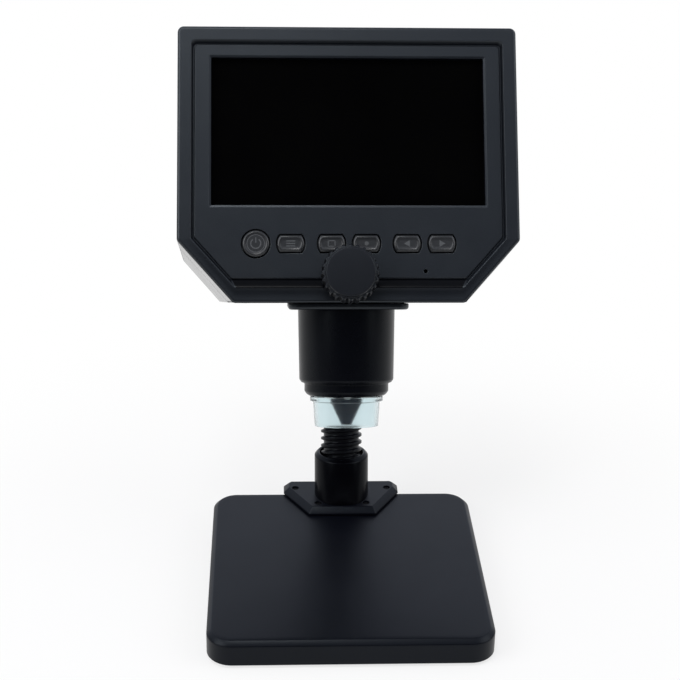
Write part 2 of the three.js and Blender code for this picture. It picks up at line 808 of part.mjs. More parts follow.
// Everything above a level of the head
function aboveLevel(level) {
  const size = 2 * headWidth;
  return solid(block([-size, size], [-size, size], [level, size]));
}

// The head's outer form. Its sides are square to the face, its bottom to the barrel, and its back
// is parallel to the barrel; it is chamfered round its face and round its back.
function headBody() {
  const fromFront = onFace(prism(rounded(faceOutline, outlineCorners), -2 * headReach, 0, faceChamfer, 3));
  const skin = gap / 10; // keeps the two forms' sides apart
  const atBack = faceOutline.map(([x, up]) => [x, heightAtBack(up)]);
  const wide = rounded(inset(atBack, atBack.map(() => -skin)), outlineCorners);
  const fromBack = prism(wide, 0, 2 * headReach, backChamfer, 3);
  fromBack.applyMatrix4(new THREE.Matrix4().makeShear(0, 0, 0, 0, 0, tanWedge));
  fromBack.rotateX(Math.PI / 2);
  fromBack.translate(0, backBehind, 0);
  return fromFront.intersect(solid(fromBack)).intersect(aboveLevel(0));
}

function makeCase() {
  const body = headBody();
  const innerOutline = inset(faceOutline, faceOutline.map(() => headWall));
  const inside = onFace(prism(rounded(innerOutline, gap), -2 * headReach, -panelBack, 0, 3));
  const backCut = solid(block([-headWidth, headWidth], [backBehind - headWall, 2 * headReach],
    [-headTop, 2 * headTop]));
  const cavity = inside.subtract(backCut).intersect(aboveLevel(headWall));
  const barrelHole = solid(bar(barrelTopRadius + gap, -overrun, headWall + overrun, 48));

  // Front bezel
  const recessOutline = inset(faceOutline, [chin, rimCheek, rimSide, rimTop, rimSide, rimCheek]);
  const recess = onFace(prism(rounded(recessOutline, recessCorner), -recessDepth, overrun, 0, 3));
  const opening = onFace(prism(rectangle(windowWidth, windowHeight, gap, 0, windowLevel), -2 * panelBack, 0));
  // The window's bevel widens evenly from its narrow end up to the overrun above the panel
  const bevelRise = overrun * (windowBevelDepth / windowBevel);
  const bevelCut = onFace(tapered(
    [windowWidth, windowHeight, -recessDepth - windowBevelDepth],
    [windowWidth + 2 * windowBevel + 2 * overrun, windowHeight + 2 * windowBevel + 2 * overrun,
      bevelRise - recessDepth],
  ).translate(0, windowLevel, 0));
  const keyHoles = buttons.map(({ x, halfHeight }) => onFace(
    prism(buttonOutline(buttonRadius + keyGap, halfHeight + keyGap), -2 * panelBack, overrun, 0,
      arcSteps(halfHeight))
      .translate(x, buttonLevel, 0),
  ));
  const resetHole = onFace(bar(resetRadius, -2 * panelBack, overrun, 12).translate(resetPlace, resetLevel, 0));
  const shaftHole = onFace(bar(shaftRadius + gap, -3 * panelBack, overrun, 20).translate(0, knobLevel, 0));
  const shaftBoss = onFace(
    bar(shaftBossRadius, -panelBack - shaftBossLength, -panelBack + gap, 24).translate(0, knobLevel, 0),
  );
  const keyPosts = [-keyPostPlace, keyPostPlace].map((x) => onFace(
    bar(keyPostRadius, -lcdBack, -panelBack + gap, 12).translate(x, buttonLevel, 0),
  ));
  const bezelBosses = caseScrewPlaces.map(([x, level]) => backBar(bezelBossRadius, x, level,
    planeAt(panelBack - gap, level), planeAt(bezelDepth + overrun, level)));
  const bezelTaps = caseScrewPlaces.map(([x, level]) => backBar(caseScrewShank + gap, x, level,
    planeAt(bezelDepth - caseScrewReach - gap, level), planeAt(bezelDepth + 2 * overrun, level), 12));
  const bezel = cut(
    join(cut(body, cavity), shaftBoss, ...keyPosts, ...bezelBosses),
    behindFace(bezelDepth), recess, opening, bevelCut, ...keyHoles, resetHole, shaftHole, ...bezelTaps,
    ...socketCutters(), barrelHole,
  );
  piece('front_bezel', bezel, 'shell', head);

  // Rear shell, with the battery pocket, the door's channel, bosses and openings
  const channelFloor = backBehind - doorThickness - gap;
  const pocketFloor = channelFloor - gap - batteryThickness - gap;
  const pocketHalf = [batteryWidth / 2 + gap, batteryHeight / 2 + gap];
  const pocketSpan = (extra) => [
    [-pocketHalf[0] - extra, pocketHalf[0] + extra],
    [batteryLevel - pocketHalf[1] - extra, batteryLevel + pocketHalf[1] + extra],
  ];
  const [outerX, outerZ] = pocketSpan(pocketWall);
  const [innerX, innerZ] = pocketSpan(0);
  const pocketBox = solid(block(outerX, [pocketFloor - pocketWall, backBehind - headWall / 2], outerZ));
  const pocketHollow = solid(block(innerX, [pocketFloor, backBehind + overrun], innerZ));
  const landHalf = doorHalfWidth + doorFlare + doorLandMargin;
  const land = solid(block([-landHalf, landHalf],
    [channelFloor - doorLandThickness, backBehind - headWall / 2],
    [doorBottom - doorLandMargin, backTop - headWall / 2]));
  const channel = doorSolid(gap, overrun);
  const rearBosses = caseScrewPlaces.map(([x, level]) => backBar(caseBossRadius, x, level,
    planeAt(bezelDepth - overrun, level), backBehind - headWall / 2));
  const rearHoles = caseScrewPlaces.flatMap(([x, level]) => {
    const seat = planeAt(bezelDepth + gap, level) + caseSeatThickness;
    return [
      backBar(caseScrewHead + gap, x, level, seat, backBehind + overrun),
      backBar(caseScrewShank + gap, x, level, -faceAhead, backBehind, 12),
    ];
  });
  const filled = join(cut(body, cavity), pocketBox, land, ...rearBosses).intersect(body);
  const rear = cut(
    filled.intersect(behindFace(bezelDepth + gap)),
    pocketHollow, channel, ...rearHoles, barrelHole,
    solid(bar(dimmerRadius + gap, dimmerLevel - gap, dimmerLevel + dimmerThickness + gap, 32)
      .translate(dimmerPlace, backBehind + dimmerProud - dimmerRadius, 0)),
  );
  piece('rear_shell', rear, 'shell', head);

  piece('battery', solid(block(
    [-batteryWidth / 2, batteryWidth / 2],
    [pocketFloor + gap, pocketFloor + gap + batteryThickness],
    [batteryLevel - batteryHeight / 2, batteryLevel + batteryHeight / 2],
  )), 'battery', head);
  piece('battery_door', doorSolid(0, 0), 'shell', head);

  caseScrewPlaces.forEach(([x, level], i) => {
    const seat = planeAt(bezelDepth + gap, level) + caseSeatThickness + gap;
    const reach = seat - planeAt(bezelDepth - caseScrewReach, level);
    const shape = screw(caseScrewHead, caseScrewHead / 2, caseScrewShank, reach, 0);
    const mesh = piece(`case_screw_${i + 1}`, shape, 'steel', head);
    mesh.rotation.x = -Math.PI / 2;
    mesh.position.set(x, seat + caseScrewHead / 2, level);
  });
}

// Battery door: a dovetail slab in the back wall, open at the top; grown by a clearance it is the channel
function doorSolid(clearance, past) {
  const flareRate = doorFlare / doorThickness;
  const half = (depth) => doorHalfWidth + flareRate * depth + clearance * Math.hypot(1, flareRate);
  const depth = doorThickness + clearance;
  const shape = rounded([
    [-half(-past), -backBehind - past],
    [half(-past), -backBehind - past],
    [half(depth), depth - backBehind],
    [-half(depth), depth - backBehind],
  ], 0);
  const slab = prism(shape, doorBottom - clearance, backTop - backChamfer + past * 2);
  slab.scale(1, -1, 1);
  return solid(slab);
}

// Screen stack and boards, parallel to the face
function makeScreen() {
  const at = (w, h, level) => [[-w / 2, w / 2], [level - h / 2, level + h / 2]];
  const glassSpan = at(windowWidth + 2 * glassLap, windowHeight + 2 * glassLap, windowLevel);
  const glass = block(...glassSpan, [-glassBack, -glassBack + glassThickness]);
  piece('screen_window', solid(glass), 'glass', face);
  const lcdSpan = at(lcdWidth, lcdHeight, windowLevel);
  piece('lcd_panel', solid(block(...lcdSpan, [-lcdBack, -lcdBack + lcdThickness])), 'inner', face);

  const boardSpan = [[-mainBoardHalfWidth, mainBoardHalfWidth], [mainBoardLow, mainBoardHigh]];
  const board = solid(block(...boardSpan, [-boardBack, -boardBack + boardThickness]));
  const chipLevel = (mainBoardLow + mainBoardHigh) / 2;
  const chips = [-chipSize, chipSize * 1.5].map((x) => solid(block(
    [x - chipSize / 2, x + chipSize / 2],
    [chipLevel - chipSize / 2, chipLevel + chipSize / 2],
    [-boardBack - chipHeight, -boardBack + boardThickness / 2],
  )));
  piece('main_board', join(board, ...chips), 'board', face);

  const keyBoard = solid(block(
    [-keyBoardHalfWidth, keyBoardHalfWidth],
    [buttonLevel - keyBoardBelow, buttonLevel + keyBoardAbove],
    [-boardBack, -boardBack + boardThickness],
  ));
  const switches = buttons.map(({ x }) => solid(block(
    [x - switchSize / 2, x + switchSize / 2],
    [buttonLevel - keyBoardBelow, buttonLevel + switchSize - keyBoardBelow],
    [-boardBack + boardThickness / 2, -boardBack + boardThickness + switchHeight],
  )));
  piece('key_board', join(keyBoard, ...switches), 'board', face);

  // Sockets on the back of the main board, at its right edge
  const outer = halfWidth - socketOuterInset;
  for (const { name, width, height, length, level } of sockets) {
    const top = -boardBack - gap;
    const shell = block([outer - length, outer], [level - width / 2, level + width / 2], [top - height, top]);
    const mouth = block(
      [outer - length / 2, outer + overrun],
      [level - width / 2 + socketBoreWall, level + width / 2 - socketBoreWall],
      [top - height + socketBoreWall, top - socketBoreWall],
    );
    piece(name, cut(solid(shell), solid(mouth)), 'steel', face);
  }
}

// Height on the face of a place a share of the way up the main board
const upBoard = (share) => mainBoardLow + share * (mainBoardHigh - mainBoardLow);
const sockets = [
  { name: 'usb_socket', width: usbWidth, height: usbHeight, length: usbLength, level: upBoard(usbShare) },
  { name: 'card_socket', width: cardWidth, height: cardHeight, length: cardLength, level: upBoard(cardShare) },
];

// Openings for the sockets in the head's right side
function socketCutters() {
  return sockets.map(({ width, height, level }) => onFace(block(
    [halfWidth - 2 * headWall, halfWidth + overrun],
    [level - width / 2 - gap, level + width / 2 + gap],
    [-boardBack - height - 2 * gap, -boardBack],
  )));
}

function makeButtons() {
  const proud = buttonProud - recessDepth;
  const lipTop = -panelBack - gap;
  const lipFloor = lipTop - buttonLipThickness;
  const stemFloor = -boardBack + boardThickness + switchHeight + buttonTravel + gap;
  for (const { name, x, halfHeight } of buttons) {
    const body = join(
      solid(prism(buttonOutline(buttonRadius, halfHeight), lipFloor, proud, gap, arcSteps(halfHeight))),
      solid(prism(buttonOutline(buttonRadius + buttonLipWidth, halfHeight + buttonLipWidth), lipFloor,
        lipTop, 0, arcSteps(halfHeight))),
      solid(bar(buttonStemRadius, stemFloor, lipTop, 12)),
    );
    piece(name, body, 'key', face).position.set(x, buttonLevel, 0);
  }
}

// Trapezoid teeth of the pinion and the rack, half a tooth to each side of a middle line
const toothPitch = (2 * Math.PI * pinionPitchRadius) / pinionTeeth;

function makeFocus() {
  const knobFloor = knobStandOff;
  const rim = knobFloor + knobLength;
  const tip = rim + knobCapHeight;
  const grip = solid(prism(ridged(knobRadius, knobRidges, knobRidgeHeight), knobFloor, rim));
  const form = solid(turned([
    [0, knobFloor], [knobRadius - knobEdge, knobFloor], [knobRadius + gap, knobFloor + knobEdge],
    [knobRadius + gap, rim - knobEdge], [knobCapRadius, rim + gap], [knobCapRadius, tip - gap],
    [knobCapRadius - gap, tip], [0, tip],
  ], 48));
  const core = solid(bar(knobCapRadius, rim - knobEdge, tip, 48));
  const bore = solid(bar(shaftRadius + gap, knobFloor - overrun, knobFloor + shaftInKnob + gap, 20));
  const knob = cut(join(grip, core).intersect(form), bore);
  piece('focus_knob', knob, 'knob', face).position.set(0, knobLevel, 0);

  const teeth = [];
  for (let i = 0; i < pinionTeeth; i += 1) {
    const turn = (2 * Math.PI * i) / pinionTeeth;
    const outer = pinionPitchRadius + toothAddendum;
    const inner = pinionPitchRadius - toothDedendum;
    const outline = [[inner / 2, -rootToothShare], [inner, -rootToothShare], [outer, -tipShare],
      [outer, tipShare], [inner, rootToothShare], [inner / 2, rootToothShare]];
    const shape = rounded(outline.map(([r, share]) => [r, (share * toothPitch) / 2]), 0);
    teeth.push(solid(prism(shape, -pinionDepth - pinionThickness / 2, -pinionDepth + pinionThickness / 2)
      .rotateZ(turn)));
  }
  const hub = solid(bar(pinionPitchRadius - toothDedendum, -pinionDepth - pinionThickness / 2,
    -pinionDepth + pinionThickness / 2, 16));
  const shaft = solid(bar(shaftRadius, -pinionDepth, knobFloor + shaftInKnob, 20));
  piece('focus_shaft', join(shaft, hub, ...teeth), 'steel', face).position.set(0, knobLevel, 0);

  // Lens carrier with its rack, in the guide tube
  const pinionY = planeAt(pinionDepth, 0) + knobLevel * sinWedge - pinionDepth * sinWedge * tanWedge;
  const pinionZ = knobLevel * cosWedge - pinionDepth * sinWedge;
  const carrierRadius = guideBore - gap;
  const carrierBore = carrierRadius - carrierWall;
  const tube = solid(turned([
    [carrierBore, carrierTop], [carrierRadius, carrierTop], [carrierRadius, carrierBottom],
    [carrierBore - lensSeatWidth, carrierBottom], [carrierBore - lensSeatWidth, lensSeatLevel + lensSeatThickness],
    [carrierBore, lensSeatLevel + lensSeatThickness],
  ]));
  const rackLow = pinionZ - lensTravel - rackMargin;
  const rackHigh = pinionZ + lensTravel + rackMargin;
  const rootLine = pinionPitchRadius + toothDedendum;
  const tipLine = pinionPitchRadius - toothAddendum;
  const rackOuter = rootLine + rackWidth;
  const rackBody = solid(block([rootLine, rackOuter],
    [pinionY - rackThickness / 2, pinionY + rackThickness / 2], [rackLow, rackHigh]));
  const rackTeeth = [];
  const reachTeeth = Math.floor((lensTravel + rackMargin) / toothPitch - 1 / 2);
  for (let i = -reachTeeth - 1; i <= reachTeeth; i += 1) {
    const middle = pinionZ + (i + 1 / 2) * toothPitch;
    const outline = [[rootLine + gap, rootToothShare], [rootLine, rootToothShare], [tipLine, tipShare],
      [tipLine, -tipShare], [rootLine, -rootToothShare], [rootLine + gap, -rootToothShare]];
    const shape = rounded(outline.map(([x, share]) => [x, (share * toothPitch) / 2]), 0);
    const tooth = prism(shape, -rackThickness / 2, rackThickness / 2);
    rackTeeth.push(solid(tooth.rotateX(Math.PI / 2).translate(0, pinionY, middle)));
  }
  const webInner = rootLine + gap;
  const webOuter = rackOuter - gap;
  const wallMiddle = (carrierRadius + carrierBore) / 2;
  const webRoot = -Math.sqrt(wallMiddle ** 2 - ((webInner + webOuter) / 2) ** 2);
  const web = solid(block([webInner, webOuter], [pinionY - rackThickness / 2 + gap, webRoot],
    [Math.max(rackLow, carrierTop - webHeight), carrierTop]));
  piece('lens_carrier', join(tube, rackBody, ...rackTeeth, web), 'inner', head);

  const lensRadius = carrierBore - gap;
  const lensFloor = lensSeatLevel + lensSeatThickness + gap;
  const bulge = (lensThickness - lensEdge) / 2;
  const curve = [];
  const curveSteps = 4;
  for (let i = 0; i <= curveSteps; i += 1) {
    const share = i / curveSteps;
    curve.push([lensRadius * share, bulge * share ** 2]);
  }
  const lensProfile = [
    ...curve.map(([r, sag]) => [r, lensFloor + sag]),
    ...curve.reverse().map(([r, sag]) => [r, lensFloor + lensThickness - sag]),
  ];
  // The lens bulges down through its seat's opening
  piece('objective_lens', solid(turned(lensProfile, 24)), 'lens', head);

  const webLow = Math.max(rackLow, carrierTop - webHeight);
  const slot = solid(block([webInner - gap, webOuter + gap], [pinionY, 0],
    [webLow - lensTravel - gap, carrierTop + lensTravel + gap]));
  const guideRadius = guideBore + guideWall;
  const guideFloor = -barrelLength + noseSpigotLength + gap;
  const flange = barrelBore - gap;
  const guide = solid(turned([
    [guideBore, guideFloor], [flange, guideFloor], [flange, guideFloor + guideFlangeThickness],
    [guideRadius, guideFloor + guideFlangeThickness], [guideRadius, guideTop], [guideBore, guideTop],
  ]));
  piece('guide_tube', cut(guide, slot), 'inner', head);

  const boardFloor = guideTop + gap;
  const half = sensorBoardSize / 2;
  const board = solid(block([-half, half], [-half, half], [boardFloor, boardFloor + boardThickness]));
  const sensor = solid(block([-sensorSize / 2, sensorSize / 2], [-sensorSize / 2, sensorSize / 2],
    [boardFloor - sensorHeight, boardFloor + boardThickness / 2]));
  piece('sensor_board', join(board, sensor), 'board', head);
  piece('flex_cable', flexCable(boardFloor + boardThickness + gap), 'trim', head);
}

// Flat cable from the sensor board up to the back of the main board
function flexCable(floor) {
  const rise = floor + flexRise;
  const clear = gap + flexThickness;
  const line = [
    [0, floor + flexThickness / 2],
    [planeAt(boardBack, floor) + 3 * clear, floor + flexThickness / 2],
    [planeAt(boardBack, floor + 3 * clear) + clear, floor + 3 * clear],
    [planeAt(boardBack, rise / 2 + floor / 2) + clear, rise / 2 + floor / 2],
    [planeAt(boardBack, rise) + clear, rise],
  ].map(([y, z]) => new THREE.Vector2(y, z));
  const sideOf = (sign) => line.map((point, i) => {
    const along = line[Math.min(i + 1, line.length - 1)].clone().sub(line[Math.max(i - 1, 0)]).normalize();
    return [point.x - (sign * along.y * flexThickness) / 2, point.y + (sign * along.x * flexThickness) / 2];
  });
  const shape = rounded([...sideOf(1), ...sideOf(-1).reverse()], 0);
  const strip = prism(shape, -flexWidth / 2, flexWidth / 2);
  // The shape's X is the head's Y and its Y is the head's Z
  strip.applyMatrix4(new THREE.Matrix4().makeBasis(
    new THREE.Vector3(0, 1, 0), new THREE.Vector3(0, 0, 1), new THREE.Vector3(1, 0, 0),
  ));
  return solid(strip);
}

// Barrel below the head, nose ring, lamp board, shroud and the lens hood inside it
function makeBarrel() {
  const end = -barrelLength;
  const flangeFloor = headWall + gap;
  const barrel = turned([
    [barrelBore, end], [barrelEndRadius - barrelChamfer, end], [barrelEndRadius, end + barrelChamfer],
    [barrelTopRadius, 0], [barrelTopRadius, flangeFloor], [flangeRadius, flangeFloor],
    [flangeRadius, flangeFloor + flangeThickness], [barrelBore, flangeFloor + flangeThickness],
  ], 48);
  // The flange is cut straight where the head's back wall passes it
  const wallSide = backBehind - headWall - gap;
  const trim = block([-headWidth, headWidth], [wallSide, headWidth], [0, headTop]);
  piece('barrel_tube', cut(solid(barrel), solid(trim)), 'trim', head);

  const spigot = barrelBore - gap;
  const step = end + gap;
  const noseEnd = end - noseLength - noseRounding;
  const floorTop = noseEnd + lampRecess + noseFloor;
  const nose = turned([
    [spigot - noseSpigotWall, end + noseSpigotLength], [spigot, end + noseSpigotLength], [spigot, step],
    [noseRadius, step], [noseRadius, end - noseLength],
    [(2 * noseRadius + noseTipRadius) / 3, noseEnd + noseRounding / 3],
    [noseTipRadius, noseEnd], [lampRecessRadius, noseEnd], [lampRecessRadius, noseEnd + lampRecess],
    [noseFloorBore, noseEnd + lampRecess], [noseFloorBore, floorTop], [spigot - noseSpigotWall, floorTop],
  ], 48);
  piece('nose_ring', solid(nose), 'trim', head);

  const lampTop = noseEnd + lampRecess - gap;
  const lampFloor = lampTop - lampBoardThickness;
  const lampBoard = solid(turned([
    [noseFloorBore, lampTop], [lampRecessRadius - gap, lampTop], [lampRecessRadius - gap, lampFloor],
    [noseFloorBore, lampFloor],
  ]));
  const lamps = [];
  for (let i = 0; i < lampCount; i += 1) {
    const turn = (2 * Math.PI * i) / lampCount;
    lamps.push(solid(bar(lampRadius, lampFloor - lampHeight, lampTop - lampBoardThickness / 2, 8)
      .translate(lampCircle * Math.cos(turn), lampCircle * Math.sin(turn), 0)));
  }
  piece('led_board', join(lampBoard, ...lamps), 'board', head);

  const shroudTop = noseEnd - gap;
  const mouth = shroudTop - shroudLength;
  const shroud = turned([
    [shroudTopRadius - shroudWall, shroudTop], [shroudFlangeRadius, shroudTop],
    [shroudFlangeRadius, shroudTop - shroudFlangeHeight], [shroudTopRadius, shroudTop - shroudFlangeHeight],
    [shroudEndRadius, mouth], [shroudEndRadius - shroudWall, mouth],
  ], 48);
  piece('shroud', solid(shroud), 'shroud', head);

  const hoodTip = mouth + hoodSetback;
  const hoodSeat = floorTop + gap;
  const collarEnd = lampFloor - hoodCollar;
  const hood = turned([
    [hoodTipBore, hoodTip], [hoodTipRadius, hoodTip], [hoodRadius, collarEnd], [hoodRadius, hoodSeat],
    [hoodFlangeRadius, hoodSeat], [hoodFlangeRadius, hoodSeat + hoodFlangeThickness],
    [hoodRadius - hoodWall, hoodSeat + hoodFlangeThickness], [hoodRadius - hoodWall, collarEnd],
  ]);
  piece('lens_hood', solid(hood), 'hood', head);
}

// Lamp dimmer: a thumb wheel that stands out of the back, on its potentiometer's pin
function makeDimmer() {
  const y = backBehind + dimmerProud - dimmerRadius;
  const wheel = cut(
    solid(prism(ridged(dimmerRadius, dimmerRidges, dimmerRidgeHeight), dimmerLevel,
      dimmerLevel + dimmerThickness)),
    solid(bar(dimmerPinRadius + gap, dimmerLevel - overrun, dimmerLevel + dimmerThickness + overrun, 12)),
  );
  piece('dimmer_wheel', wheel, 'knob', head).position.set(dimmerPlace, y, 0);
  const floor = headWall + gap;
  const top = dimmerLevel - gap;
  const pot = join(
    solid(block([-potWidth / 2, potWidth / 2], [-potDepth / 2, potDepth / 2], [floor, top])),
    solid(bar(dimmerPinRadius, floor, dimmerLevel + dimmerThickness + gap, 12)),
  );
  piece('dimmer_pot', pot, 'inner', head).position.set(dimmerPlace, y, 0);
}

makeBase();
makeFoot();
makeRod();
makeHolder();
makeCase();
makeScreen();
makeButtons();
makeFocus();
makeBarrel();
makeDimmer();

export default microscope;
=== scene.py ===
# %% [markdown]
# # A digital microscope on a leaning column
# The object is a small desk microscope. A head with a screen rests on a bracket, the bracket climbs
# a leaning threaded rod, and the rod stands in a socket on a square base. Nearly all of it is black
# moulded plastic, so the form has to be told by edges, gaps and small changes of gloss. This lesson
# starts from the solids of the part, keeps the hidden ones, and gives every visible piece a finer
# surface in the same place.

# %% Load the solids
import json
import math

import bmesh
import bpy
import numpy as np
from mathutils import Matrix, Vector
from mathutils.geometry import tessellate_polygon

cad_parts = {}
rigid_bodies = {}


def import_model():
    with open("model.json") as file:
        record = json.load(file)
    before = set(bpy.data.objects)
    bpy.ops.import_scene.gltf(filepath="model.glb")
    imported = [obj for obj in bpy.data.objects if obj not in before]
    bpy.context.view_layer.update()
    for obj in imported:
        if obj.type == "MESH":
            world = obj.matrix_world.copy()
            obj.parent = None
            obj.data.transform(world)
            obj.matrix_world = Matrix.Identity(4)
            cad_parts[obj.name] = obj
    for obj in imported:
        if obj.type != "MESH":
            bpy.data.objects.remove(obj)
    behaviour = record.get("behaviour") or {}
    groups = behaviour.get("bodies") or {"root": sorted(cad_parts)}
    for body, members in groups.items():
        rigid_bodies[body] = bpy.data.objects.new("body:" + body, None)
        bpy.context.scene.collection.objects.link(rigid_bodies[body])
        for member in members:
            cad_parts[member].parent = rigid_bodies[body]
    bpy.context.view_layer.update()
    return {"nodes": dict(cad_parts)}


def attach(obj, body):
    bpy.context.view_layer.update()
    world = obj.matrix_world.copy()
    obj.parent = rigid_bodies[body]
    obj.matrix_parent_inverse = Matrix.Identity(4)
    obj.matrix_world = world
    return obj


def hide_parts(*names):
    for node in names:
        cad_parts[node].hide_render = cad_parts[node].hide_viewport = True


for thing in list(bpy.data.objects):
    bpy.data.objects.remove(thing)
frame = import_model()

# %% [markdown]
# ## Three places to work in
# The rod leans back, the head is square to the rod, and the screen leans a little more than the
# rod. Working out each piece in its own upright place and turning it afterwards keeps the numbers
# simple. All sizes are millimetres until the last moment, when a piece is placed and turned into
# metres.

# %% Places
# The rod's lean, the screen's further lean, the rod's foot above the table, the barrel's top in the
# rod's own place, and how far the face is in front of the barrel's axis
LEAN = math.radians(23)
WEDGE = math.radians(9)
ROD_FOOT = np.array([0.0, 45.4, 14.5])
HEAD_ON_COLUMN = np.array([0.0, -42.3, 73.9])
FACE_AHEAD = 25.4


def on_table(points):
    """Millimetres above the table to metres."""
    return np.asarray(points, float) / 1000


def on_column(points):
    """Turns x, y, z about the X axis by the lean, then moves them to the rod's foot."""
    p = np.asarray(points, float)
    y = p[..., 1] * math.cos(LEAN) + p[..., 2] * math.sin(LEAN)
    z = -p[..., 1] * math.sin(LEAN) + p[..., 2] * math.cos(LEAN)
    return on_table(np.stack([p[..., 0], y, z], -1) + ROD_FOOT)


def on_head(points):
    """The barrel's axis is Z and its top is 0: the column's place, moved to the barrel."""
    return on_column(np.asarray(points, float) + HEAD_ON_COLUMN)


def on_face(points):
    """x, height up the face, distance out of it: up and out are Y and Z turned by the wedge."""
    p = np.asarray(points, float)
    y = -FACE_AHEAD + p[..., 1] * math.sin(WEDGE) - p[..., 2] * math.cos(WEDGE)
    z = p[..., 1] * math.cos(WEDGE) + p[..., 2] * math.sin(WEDGE)
    return on_head(np.stack([p[..., 0], y, z], -1))


print("barrel top at", np.round(on_head([0, 0, 0]), 4))
print("face foot at", np.round(on_face([0, 0, 0]), 4))

# %% [markdown]
# ## Camera
# The photograph was taken from in front, a little to the left and above, with a longish lens. The
# numbers come from fitting a camera to edges of the object. The camera comes first, so that every
# later step can be checked through it.

# %% Camera
# The focal length is in pixels of a picture 680 wide. The angles are down, to the right and roll
PICTURE_WIDTH, FOCAL_LENGTH, SENSOR_WIDTH = 680, 1566.46, 36
CAMERA_ANGLES, CAMERA_PLACE = (24.9775, 2.7475, 1.0308), (-27.1836, -488.2804, 327.9755)
camera_data = bpy.data.cameras.new("photo_camera")
camera_data.sensor_width = SENSOR_WIDTH
camera_data.lens = FOCAL_LENGTH * SENSOR_WIDTH / PICTURE_WIDTH
camera_data.clip_start = 0.01
camera_data.clip_end = 20
pitch, yaw, roll = (math.radians(angle) for angle in CAMERA_ANGLES)
ahead = math.cos(pitch)
forward = Vector((math.sin(yaw) * ahead, math.cos(yaw) * ahead, -math.sin(pitch)))
right = Vector((math.cos(yaw), -math.sin(yaw), 0))
up = right.cross(forward)
side = math.cos(roll) * right + math.sin(roll) * up
top = math.cos(roll) * up - math.sin(roll) * right
turn = Matrix((side, top, -forward)).transposed().to_4x4()
camera = bpy.data.objects.new("photo_camera", camera_data)
camera.matrix_world = Matrix.Translation(Vector(CAMERA_PLACE) / 1000) @ turn
bpy.context.scene.collection.objects.link(camera)
bpy.context.scene.camera = camera
print("camera lens", round(camera_data.lens, 2), "mm")

# %% [markdown]
# ## Shader groups
# Moulded plastic is never one flat colour. The mould leaves a fine grain, the melt leaves slow
# changes of tone, and hands leave soft marks that change the gloss. Three groups make these once,
# and each material places them with its own sizes. They put out only colours, masks and heights:
# the shader itself stays in the material.


# %% Group helpers
def new_group(name, inputs, outputs):
    """An empty shader group: inputs are (name, default), outputs are (name, socket type)."""
    group = bpy.data.node_groups.new(name, "ShaderNodeTree")
    for label, value in inputs:
        kind = "NodeSocketColor" if isinstance(value, tuple) else "NodeSocketFloat"
        socket = group.interface.new_socket(name=label, in_out="INPUT", socket_type=kind)
        socket.default_value = value
    for label, kind in outputs:
        group.interface.new_socket(name=label, in_out="OUTPUT", socket_type=kind)
    return group, group.nodes.new("NodeGroupInput"), group.nodes.new("NodeGroupOutput")


def add_node(tree, kind, **settings):
    """A node with its settings. Keys that start with in_ set an unlinked input by its name."""
    node = tree.nodes.new(kind)
    for key, value in settings.items():
        if key.startswith("in_"):
            node.inputs[key[3:].replace("_", " ")].default_value = value
        else:
            setattr(node, key, value)
    return node


def math_node(tree, operation, first, second):
    """first and second are sockets or numbers; returns the result's socket."""
    node = add_node(tree, "ShaderNodeMath", operation=operation)
    for slot, value in enumerate((first, second)):
        if isinstance(value, (int, float)):
            node.inputs[slot].default_value = value
        else:
            tree.links.new(value, node.inputs[slot])
    return node.outputs[0]


# %% More node helpers
def map_node(tree, value, low, high, first=0.0, last=1.0, kind="SMOOTHSTEP"):
    """Turns a value from low to high into first to last, and stops at both ends."""
    node = add_node(tree, "ShaderNodeMapRange", clamp=True, interpolation_type=kind)
    numbers = {"From Min": low, "From Max": high, "To Min": first, "To Max": last}
    for label, number in numbers.items():
        node.inputs[label].default_value = number
    tree.links.new(value, node.inputs["Value"])
    return node.outputs["Result"]


def mix_shaders(tree, share, first, second):
    """The first shader where the share is 0, the second where it is 1."""
    node = add_node(tree, "ShaderNodeMixShader")
    for slot, socket in enumerate((share, first, second)):
        tree.links.new(socket, node.inputs[slot])
    return node.outputs[0]


def object_texture(group, given, kind, **settings):
    """A texture on the object's own coordinates, with the group's Size as its scale."""
    place = add_node(group, "ShaderNodeTexCoord")
    texture = add_node(group, kind, **settings)
    group.links.new(place.outputs["Object"], texture.inputs["Vector"])
    group.links.new(given.outputs["Size"], texture.inputs["Scale"])
    return texture


# %% Grain left by the mould
grain_group, given, out = new_group(
    "mould_grain", [("Size", 2600.0), ("Depth", 0.35)], [("Height", "NodeSocketFloat")]
)
coarse = object_texture(grain_group, given, "ShaderNodeTexNoise", in_Detail=3.0,
                        in_Roughness=0.55)
pits = object_texture(grain_group, given, "ShaderNodeTexVoronoi", feature="SMOOTH_F1")
both = math_node(grain_group, "ADD", coarse.outputs["Fac"], pits.outputs["Distance"])
deep = math_node(grain_group, "MULTIPLY", both, given.outputs["Depth"])
grain_group.links.new(deep, out.inputs["Height"])

# %% Slow changes of tone in the melt
tone_group, given, out = new_group(
    "melt_tone",
    [("Color", (0.02, 0.02, 0.02, 1.0)), ("Lighter", (0.03, 0.03, 0.03, 1.0)), ("Size", 22.0)],
    [("Color", "NodeSocketColor")],
)
cloud = object_texture(tone_group, given, "ShaderNodeTexNoise", in_Detail=4.0, in_Roughness=0.6)
share = map_node(tone_group, cloud.outputs["Fac"], 0.3, 0.7, kind="LINEAR")
mix = add_node(tone_group, "ShaderNodeMix", data_type="RGBA")
tone_group.links.new(share, mix.inputs["Factor"])
tone_group.links.new(given.outputs["Color"], mix.inputs[6])
tone_group.links.new(given.outputs["Lighter"], mix.inputs[7])
tone_group.links.new(mix.outputs[2], out.inputs["Color"])

